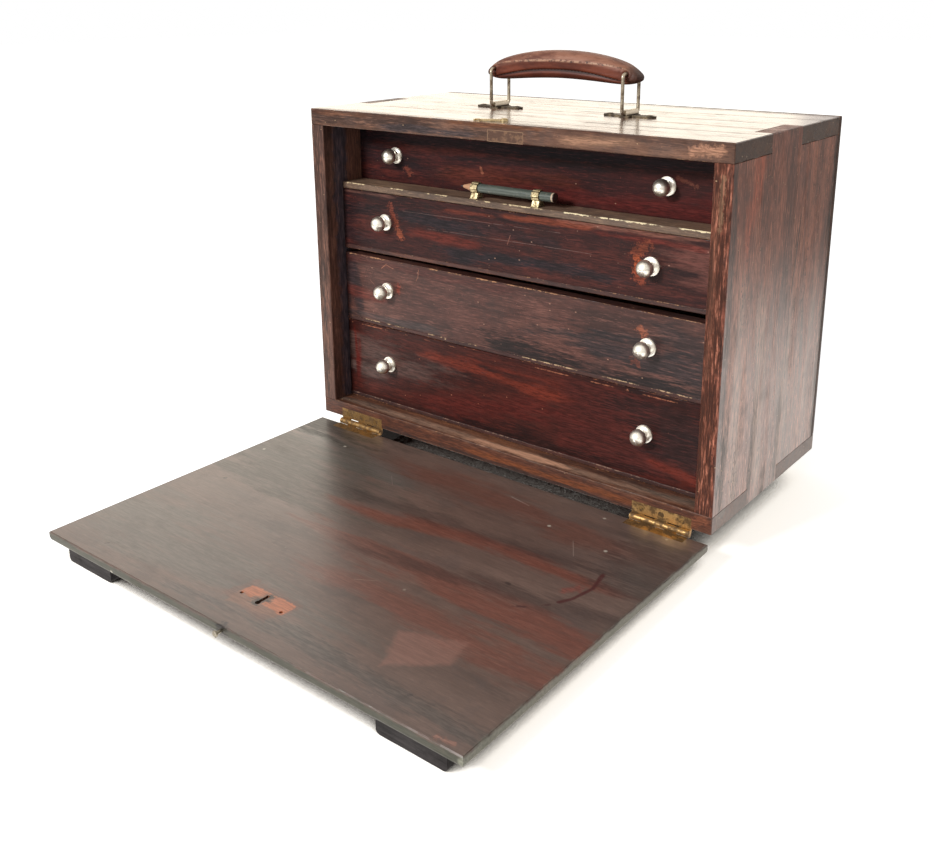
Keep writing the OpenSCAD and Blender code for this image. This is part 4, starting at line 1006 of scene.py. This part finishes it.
# %% Drawer floors and boxes
FLOOR_THICK = 3.5
FLOORS = [
    (((88, 70, 58), (122, 98, 80), (150, 122, 98)), (232, 208, 164), 1.1),
    (((56, 32, 29), (80, 46, 39), (106, 66, 53)), (190, 142, 104), 0.7),
    (((54, 31, 29), (78, 45, 39), (104, 65, 53)), (216, 182, 142), 0.9),
    (((48, 27, 24), (70, 38, 32), (94, 55, 44)), (156, 122, 102), 0.7)]
drawer_fronts = [top_drawer, second_drawer, third_drawer, bottom_drawer]
for number, (finish, (tones, rim_tone, chip)) in enumerate(zip(drawer_fronts, FLOORS), 1):
    name = f"drawer_{number}_"
    low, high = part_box(name + "floor")
    tilt = (high.z - low.z - FLOOR_THICK * MM) / (high.x - low.x) if number == 2 else 0.0
    end = Vector((high.x, low.y, high.z))
    rim = [chipped(Vector((low.x + 6 * MM, low.y, high.z)), end, chip, rim_tone, 0.85),
           chipped(low, Vector((high.x, low.y, low.z)), 0.8, (182, 130, 94), 0.8)]
    if number == 1:
        rim.append(chipped(Vector((high.x - 130 * MM, low.y, high.z)), end, 1.3,
                           (250, 232, 190), 0.9, 0.42))
    tray = old_wood(name + "floor_wood", tones, "X", 1.1 * number, name + "floor", tilt=tilt,
                    raw=(176, 130, 92), grime=0.4, gloss=0.42, fleck=1.0,
                    marks=rim + [chips(PALE, 0.8)])
    dressed(name + "front", finish, width=0.5, depth=0.35)
    dressed(name + "floor", tray, width=0.5)
clad(old_wood("drawer_box_wood", ((120, 84, 54), (152, 112, 76), (176, 136, 96)), "Y", 8.8,
              gloss=0.55), "drawer_?_sides", "drawer_runners")
clad(old_wood("drawer_back_wood", ((116, 80, 52), (148, 108, 72), (170, 130, 92)), "X", 9.4,
              gloss=0.55), "drawer_?_back")

# %% [markdown]
# ## Metals
# Brass that has browned, nickel rubbed to satin, steel with rust: a metal is a colour, how
# rough it is and how dirt changes both. A mirror-bright metal would need no texture, but
# none of these is: noise dulls them in clouds, and the dull parts lose their metallic look.

# %% Metals
def old_metal(name, colour, tarnish, spread, rough, grain, pits, polish=None, board=None,
              raised=None):
    """Old metal. spread is how much of it the tarnish covers. It is polished along the edges
    of a board, or above a raised height."""
    f = Finish(name)
    patchy = f.noise(f.place, grain, 4.0, 0.65)
    cover = f.ramp(patchy, 0.62 - spread * 0.3, 0.78 - spread * 0.3)
    fine = f.noise(f.place, grain * 7, 3.0, 0.6)
    spots = f.ramp(f.noise(f.place, grain * 4, 2.0), 0.66, 0.74) * pits
    colour = f.layers(colour, (f.ramp(fine, 0.35, 0.75) * 0.3, tarnish),
                      (cover * 0.85, tarnish), (spots, (44, 34, 26)))
    if board:
        rim = f.ramp(f.to_edge(*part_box(board)), 0.7 * MM, 0.1 * MM) * f.ramp(patchy, 0.36, 0.55)
        colour = f.blend(rim * 0.6, colour, polish)
        cover = cover * (1 - rim * 0.6)
    if raised:
        top = f.ramp(f.split(f.place)[2] + patchy * (0.6 * MM), raised, raised + 0.9 * MM)
        colour = f.blend(top * 0.85, colour, polish)
        cover = cover * (1 - top * 0.8)
    return f.done(colour, rough + cover * 0.25 + fine * 0.12, 1 - cover * 0.45 - spots * 0.5,
                  height=patchy * 0.5 - spots, lift=0.08 * MM)


clad(old_metal("satin_nickel", (252, 250, 240), (206, 198, 178), 0.15, 0.3, 160, 0.1),
     "drawer_?_knobs")
clad(old_metal("browned_brass", (166, 134, 88), (92, 68, 42), 0.62, 0.36, 150, 0.6),
     "hinge_leaf_*", "hinge_pins")
clad(old_metal("dull_brass", (124, 98, 80), (84, 60, 50), 0.7, 0.42, 150, 0.4,
               (176, 146, 118), "strike_plate"), "strike_*")
clad(old_metal("hook_brass", (226, 206, 160), (140, 112, 74), 0.3, 0.3, 200, 0.2),
     "top_hook", "hook_screw")
clad(old_metal("screw_brass", (150, 120, 76), (76, 56, 38), 0.5, 0.38, 200, 0.5),
     "hinge_screws_*")
clad(old_metal("clip_brass", (214, 200, 160), (116, 96, 62), 0.55, 0.3, 260, 0.5),
     "pencil_clips")
clad(old_metal("rusty_steel", (190, 180, 160), (104, 84, 62), 0.5, 0.3, 190, 0.6), "ring_*")
clad(old_metal("dark_steel", (112, 100, 82), (62, 52, 42), 0.7, 0.4, 200, 0.6,
               (236, 226, 206), raised=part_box("top_board")[1].z + 2.2 * MM), "handle_plate_*")
clad(old_metal("bright_steel", (150, 144, 130), (80, 68, 54), 0.5, 0.28, 300, 0.3),
     "hook_stud", "drawer_?_knob_screws")

# %% [markdown]
# ## Pencil
# A short pencil lies in the clips, point to the left: a cone of bare wood, dark green-grey
# paint, and at the far end a pale rim where the paint has chipped off. It could be three
# pieces, but it is one round solid, so the bands are told apart by their place along it.

# %% Pencil
low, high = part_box("pencil_wood")
f = Finish("pencil_paint")
x = f.split(f.place)[0]
wobble = (f.noise(f.place, 500.0, 2.0) - 0.5) * (1.2 * MM)
bare = f.ramp(x + wobble, low.x + 9.4 * MM, low.x + 8.8 * MM)
band = f.ramp(x + wobble, high.x - 2.4 * MM, high.x - 2.0 * MM) * f.ramp(
    x, high.x - 0.7 * MM, high.x - 0.9 * MM)
cap = f.ramp(x, high.x - 0.5 * MM, high.x - 0.3 * MM)
grey = f.noise(f.stretch(f.place, (60, 700, 700)), 1.0, 3.0)
worn_paint = f.ramp(f.noise(f.place, 420.0, 4.0, 0.7), 0.6, 0.7)
colour = f.layers((74, 82, 76), (f.ramp(grey, 0.4, 0.7) * 0.5, (110, 116, 104)),
                  (worn_paint * 0.7, (150, 140, 120)), (bare, (186, 140, 106)),
                  (band, (196, 172, 146)), (cap, (58, 40, 34)))
clad(f.done(colour, 0.3 + bare * 0.35, height=grey, lift=0.05 * MM), "pencil_wood")

f = Finish("graphite")
clad(f.done(f.blend(f.noise(f.place, 900.0, 2.0), (44, 44, 48), (74, 74, 78)), 0.35, 0.4),
     "pencil_lead")
print("pencil from", round(low.x / MM), "to", round(high.x / MM), "mm")

# %% [markdown]
# ## Leather grip
# The grip is a stuffed leather handle: arched, thick in the middle, with a worn ridge along
# its front shoulder, a stitched seam low down and a roll below it, and the wire rings go in
# through puckered holes. A subdivided box would come out soft all over, so the skin is lofted
# from many sections, each worked out from its angle, and the skin keeps how much ridge, seam
# and hole there is at each point for the leather's colour to use.

# %% Grip skin
grip_low, grip_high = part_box("handle_grip")
GRIP_HALF = (grip_high.x - grip_low.x) / 2 / MM
ARCH, THICK, WIDE = 8.4, 11.25, 11.3
GRIP_MIDDLE = Vector((0, (grip_low.y + grip_high.y) / 2, grip_high.z - THICK * MM))
RING_X, RING_BELOW = 64.5, -5.3
STEPS, SIDES = 150, 96


def squared(value, power):
    return math.copysign(abs(value) ** power, value)


def swell(angle, middle, half):
    return math.exp(-((angle - middle) / half) ** 2)


def seams(t):
    """The angles of the two grooves, which run out downwards near the ends."""
    drop = 19.5 + 34 * abs(t) ** 3
    return 180 + drop, 360 - drop


def ridges(t):
    """The angles of the two worn ridges, which climb to the top near the ends."""
    climb = 13 + 30 * abs(t) ** 2.4
    return 180 - climb, climb


def skin_point(t, angle):
    """A point on the grip, and how much ridge, seam and hole there is."""
    flat = max(1 - abs(t) ** 5, 0)
    seam = sum(swell(angle, s, 7.5) for s in seams(t)) * flat
    roll = sum(swell(angle, s, 17) for s in (seams(t)[0] + 26, seams(t)[1] - 26)) * flat
    ridge = sum(swell(angle, r, 7) for r in ridges(t)) * flat**0.3
    face = sum(swell(angle, r, 9) for r in (184, 356)) * flat
    out = 1 - 0.15 * seam + 0.03 * roll + 0.035 * ridge - 0.03 * face
    narrow = 1 - 0.2 * abs(t) ** 3 - 0.28 * abs(t) ** 12
    thin = 1 - 0.36 * abs(t) ** 2.6 - 0.4 * abs(t) ** 11
    a = math.radians(angle)
    y = WIDE * narrow * min(out, 1.02) * squared(math.cos(a), 0.68)
    z = -ARCH * t * t + THICK * thin * min(out, 1.0) * squared(math.sin(a), 0.8)
    away = math.hypot(t * GRIP_HALF - math.copysign(RING_X, t), z - RING_BELOW)
    hole = math.exp(-(away / 2.6) ** 2)
    y -= math.copysign(1.9 * hole - 0.5 * math.exp(-((away - 4.4) / 1.4) ** 2), y)
    return GRIP_MIDDLE + MM * Vector((t * GRIP_HALF, y, z)), (ridge, seam, hole)


shape = bmesh.new()
layers = [shape.verts.layers.float.new(n) for n in ("ridge", "seam", "hole")]


def join(one, two):
    """A band of faces between two rings of points."""
    for k in range(SIDES):
        shape.faces.new((one[k - 1], one[k], two[k], two[k - 1]))


rings = []
for step_number in range(STEPS + 1):
    part = 2 * step_number / STEPS - 1
    t = math.sin(math.pi / 2 * part) * 0.45 + part * 0.55
    ring = []
    for k in range(SIDES):
        point, facts = skin_point(t, 360 * k / SIDES)
        ring.append(shape.verts.new(point))
        for layer, fact in zip(layers, facts):
            ring[-1][layer] = fact
    rings.append(ring)
for one, two in zip(rings, rings[1:]):
    join(one, two)
for last, way in ((rings[0], -1), (rings[-1], 1)):
    middle = sum((v.co for v in last), Vector()) / SIDES
    ring = last
    for share, bulge in ((0.8, 0.45), (0.45, 0.8)):
        out = Vector((way * bulge * MM, 0, 0))
        inner = [shape.verts.new(middle + (v.co - middle) * share + out) for v in last]
        join(ring, inner)
        ring = inner
    tip = shape.verts.new(middle + Vector((way * 0.9 * MM, 0, 0)))
    for k in range(SIDES):
        shape.faces.new((ring[k - 1], ring[k], tip))
bmesh.ops.recalc_face_normals(shape, faces=shape.faces)
for face in shape.faces:
    face.smooth = True
grip_mesh = bpy.data.meshes.new("leather_grip")
shape.to_mesh(grip_mesh)
shape.free()
grip = bpy.data.objects.new("leather_grip", grip_mesh)
bpy.context.scene.collection.objects.link(grip)
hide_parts("handle_grip")
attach(grip, "grip")
print("grip:", len(grip_mesh.polygons), "faces")

# %% Leather
f = Finish("grip_leather")
ridge, seam, hole = (Amount(f, f.add("ShaderNodeAttribute", {"attribute_name": n}).outputs["Fac"])
                     for n in ("ridge", "seam", "hole"))
x, y, z = f.split(f.place)
pebble = f.noise(f.place, 700.0, 4.0, 0.65)
crease = f.noise(f.stretch(f.place, (90, 500, 500)), 1.0, 4.0, 0.65, 0.6)
cloud = f.noise(f.stretch(f.place, (30, 90, 90)), 1.0, 4.0, 0.62)
rise = z + x * x * (ARCH / GRIP_HALF**2 / MM)
upper = f.ramp(rise, GRIP_MIDDLE.z + 1 * MM, GRIP_MIDDLE.z + 6 * MM)
lower = f.ramp(rise, GRIP_MIDDLE.z - 4 * MM, GRIP_MIDDLE.z - 7 * MM)
rubbed = f.ramp(ridge, 0.4, 0.95) * f.ramp(f.noise(f.place, 240.0, 4.0, 0.7), 0.4, 0.56)
grazed = f.ramp(ridge, 0.3, 0.8) * f.ramp(f.noise(f.place, 330.0, 3.0, 0.7), 0.54, 0.62)
tips = f.ramp(f.maths("ABSOLUTE", x) + (cloud - 0.5) * (14 * MM), GRIP_HALF * 0.86 * MM,
              GRIP_HALF * 0.98 * MM)
colour = f.layers(
    (86, 39, 26), (f.ramp(cloud, 0.38, 0.62), (116, 57, 37)),
    (upper * f.ramp(cloud, 0.3, 0.6) * 0.75, (162, 116, 94)),
    (f.ramp(crease, 0.52, 0.68) * 0.4, (70, 36, 28)),
    (f.ramp(crease, 0.42, 0.3) * upper * 0.5, (184, 142, 118)), (lower * 0.35, (74, 38, 30)),
    (rubbed * 0.75, (190, 148, 120)), (grazed * 0.8, (58, 40, 34)),
    (f.ramp(seam, 0.25, 0.8) * 0.95, (38, 15, 12)), (tips * 0.8, (76, 56, 48)),
    (f.ramp(hole, 0.3, 0.85) * 0.9, (34, 22, 18)))
grip_mesh.materials.append(f.done(
    colour, 0.4 + crease * 0.2 - ridge * 0.06, height=pebble * 0.3 - crease * 0.7 - grazed * 0.3,
    constants={"IOR": 1.38}))
print("leather on", grip.name)

# %% [markdown]
# ## Stitches
# A row of short stitches pulls the seam together in its groove. A hundred copies placed by
# hand would be a nuisance, so a geometry tree walks along the seam's line, drops one stitch
# at every step and turns it to follow the line.

# %% Stitches
stitch_tree, given, step = geometry_tree("stitch_row", {
    "Step": "Float", "Length": "Float", "Thickness": "Float", "Finish": "Material"})
line = step("GeometryNodeMeshToCurve", {"Mesh": given["Geometry"]})
size = step("ShaderNodeCombineXYZ", {
    0: given["Length"], 1: given["Thickness"], 2: given["Thickness"]})
close_tree(step, step("GeometryNodeInstanceOnPoints", {
    "Points": step("GeometryNodeResampleCurve", {"Curve": line, "Length": given["Step"]},
                   mode="LENGTH"),
    "Instance": step("GeometryNodeMeshIcoSphere", {"Radius": 1.0, "Subdivisions": 2}),
    "Rotation": step("FunctionNodeAlignRotationToVector", {
        "Vector": step("GeometryNodeInputTangent")}, axis="X"),
    "Scale": size}), given["Finish"])

f = Finish("waxed_thread")
twist = f.noise(f.stretch(f.place, (2600, 900, 900)), 1.0, 2.0)
thread_finish = f.done(f.blend(twist, (48, 26, 20), (84, 50, 36)), 0.55, height=twist,
                       lift=0.1 * MM)

HALF_ROW, PARTS = 0.8, 80
seam_lines = bpy.data.meshes.new("seam_lines")
points, links = [], []
for side in (0, 1):
    for k in range(PARTS + 1):
        t = -HALF_ROW + 2 * HALF_ROW * k / PARTS
        points.append(skin_point(t, seams(t)[side])[0])
        if k:
            links.append((len(points) - 2, len(points) - 1))
seam_lines.from_pydata(points, links, [])
stitches = grow(stitch_tree, seam_lines, "grip_stitches", {
    "Step": 3.2 * MM, "Length": 1.15 * MM, "Thickness": 0.36 * MM, "Finish": thread_finish})
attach(stitches, "grip")
print("stitches:", len(stitches.data.polygons), "faces")

# %% [markdown]
# ## Nails
# The back panel and the drawer sides are nailed, as cheap quick joints were. Each nail shows
# a small domed head. The tree takes loose points that know which way they face, puts a head
# on each and makes it wider or narrower by a seeded amount, one mesh for each body.

# %% Nails
nail_tree, given, step = geometry_tree("nail_heads", {
    "Radius": "Float", "Seed": "Int", "Finish": "Material"})
aim = step("GeometryNodeInputNamedAttribute", {"Name": "aim"}, data_type="FLOAT_VECTOR")
chance = step("FunctionNodeRandomValue", {2: 0.85, 3: 1.15, "Seed": given["Seed"]}, 1,
              data_type="FLOAT")
across = step("ShaderNodeMath", {0: given["Radius"], 1: chance}, operation="MULTIPLY")
height = step("ShaderNodeMath", {0: given["Radius"], 1: 0.22}, operation="MULTIPLY")
close_tree(step, step("GeometryNodeInstanceOnPoints", {
    "Points": step("GeometryNodeMeshToPoints", {"Mesh": given["Geometry"]}),
    "Instance": step("GeometryNodeMeshUVSphere", {"Segments": 12, "Rings": 6, "Radius": 1.0}),
    "Rotation": step("FunctionNodeAlignRotationToVector", {"Vector": aim}, axis="Z"),
    "Scale": step("ShaderNodeCombineXYZ", {0: across, 1: across, 2: height})}), given["Finish"])

nail_iron = old_metal("nail_iron", (96, 88, 80), (58, 44, 38), 0.6, 0.45, 400, 0.5)


def nails(name, body, places, radius, seed):
    """Nail heads at these places, each a point and the way that it faces."""
    mesh = bpy.data.meshes.new(name)
    mesh.from_pydata([point for point, _ in places], [], [])
    ways = mesh.attributes.new("aim", "FLOAT_VECTOR", "POINT")
    for entry, (_, way) in zip(ways.data, places):
        entry.vector = way
    piece = grow(nail_tree, mesh, name, {
        "Radius": radius * MM, "Seed": seed, "Finish": nail_iron})
    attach(piece, body)
    print(name, len(places), "nails")


INSET, BACKWARD = 6 * MM, Vector((0, 1, 0))
low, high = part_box("back_panel")
wide, tall = high.x - low.x - 2 * INSET, high.z - low.z - 2 * INSET
places = [(low.x + INSET + wide * k / 5, z)
          for k in range(6) for z in (low.z + INSET, high.z - INSET)]
places += [(x, low.z + INSET + tall * k / 4)
           for k in range(1, 4) for x in (low.x + INSET, high.x - INSET)]
nails("back_nails", "case", [(Vector((x, high.y, z)), BACKWARD) for x, z in places], 1.7, 3)
for number in range(1, 5):
    low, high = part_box(f"drawer_{number}_sides")
    front_low, front_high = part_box(f"drawer_{number}_front")
    tall = front_high.z - front_low.z - 5 * MM
    nails(f"drawer_{number}_nails", f"drawer_{number}", [
        (Vector((x, front_high.y - 3 * MM, front_low.z + tall * share)), Vector((way, 0, 0)))
        for x, way in ((low.x, -1), (high.x, 1)) for share in (0.25, 0.75)], 1.3, number)

# %% [markdown]
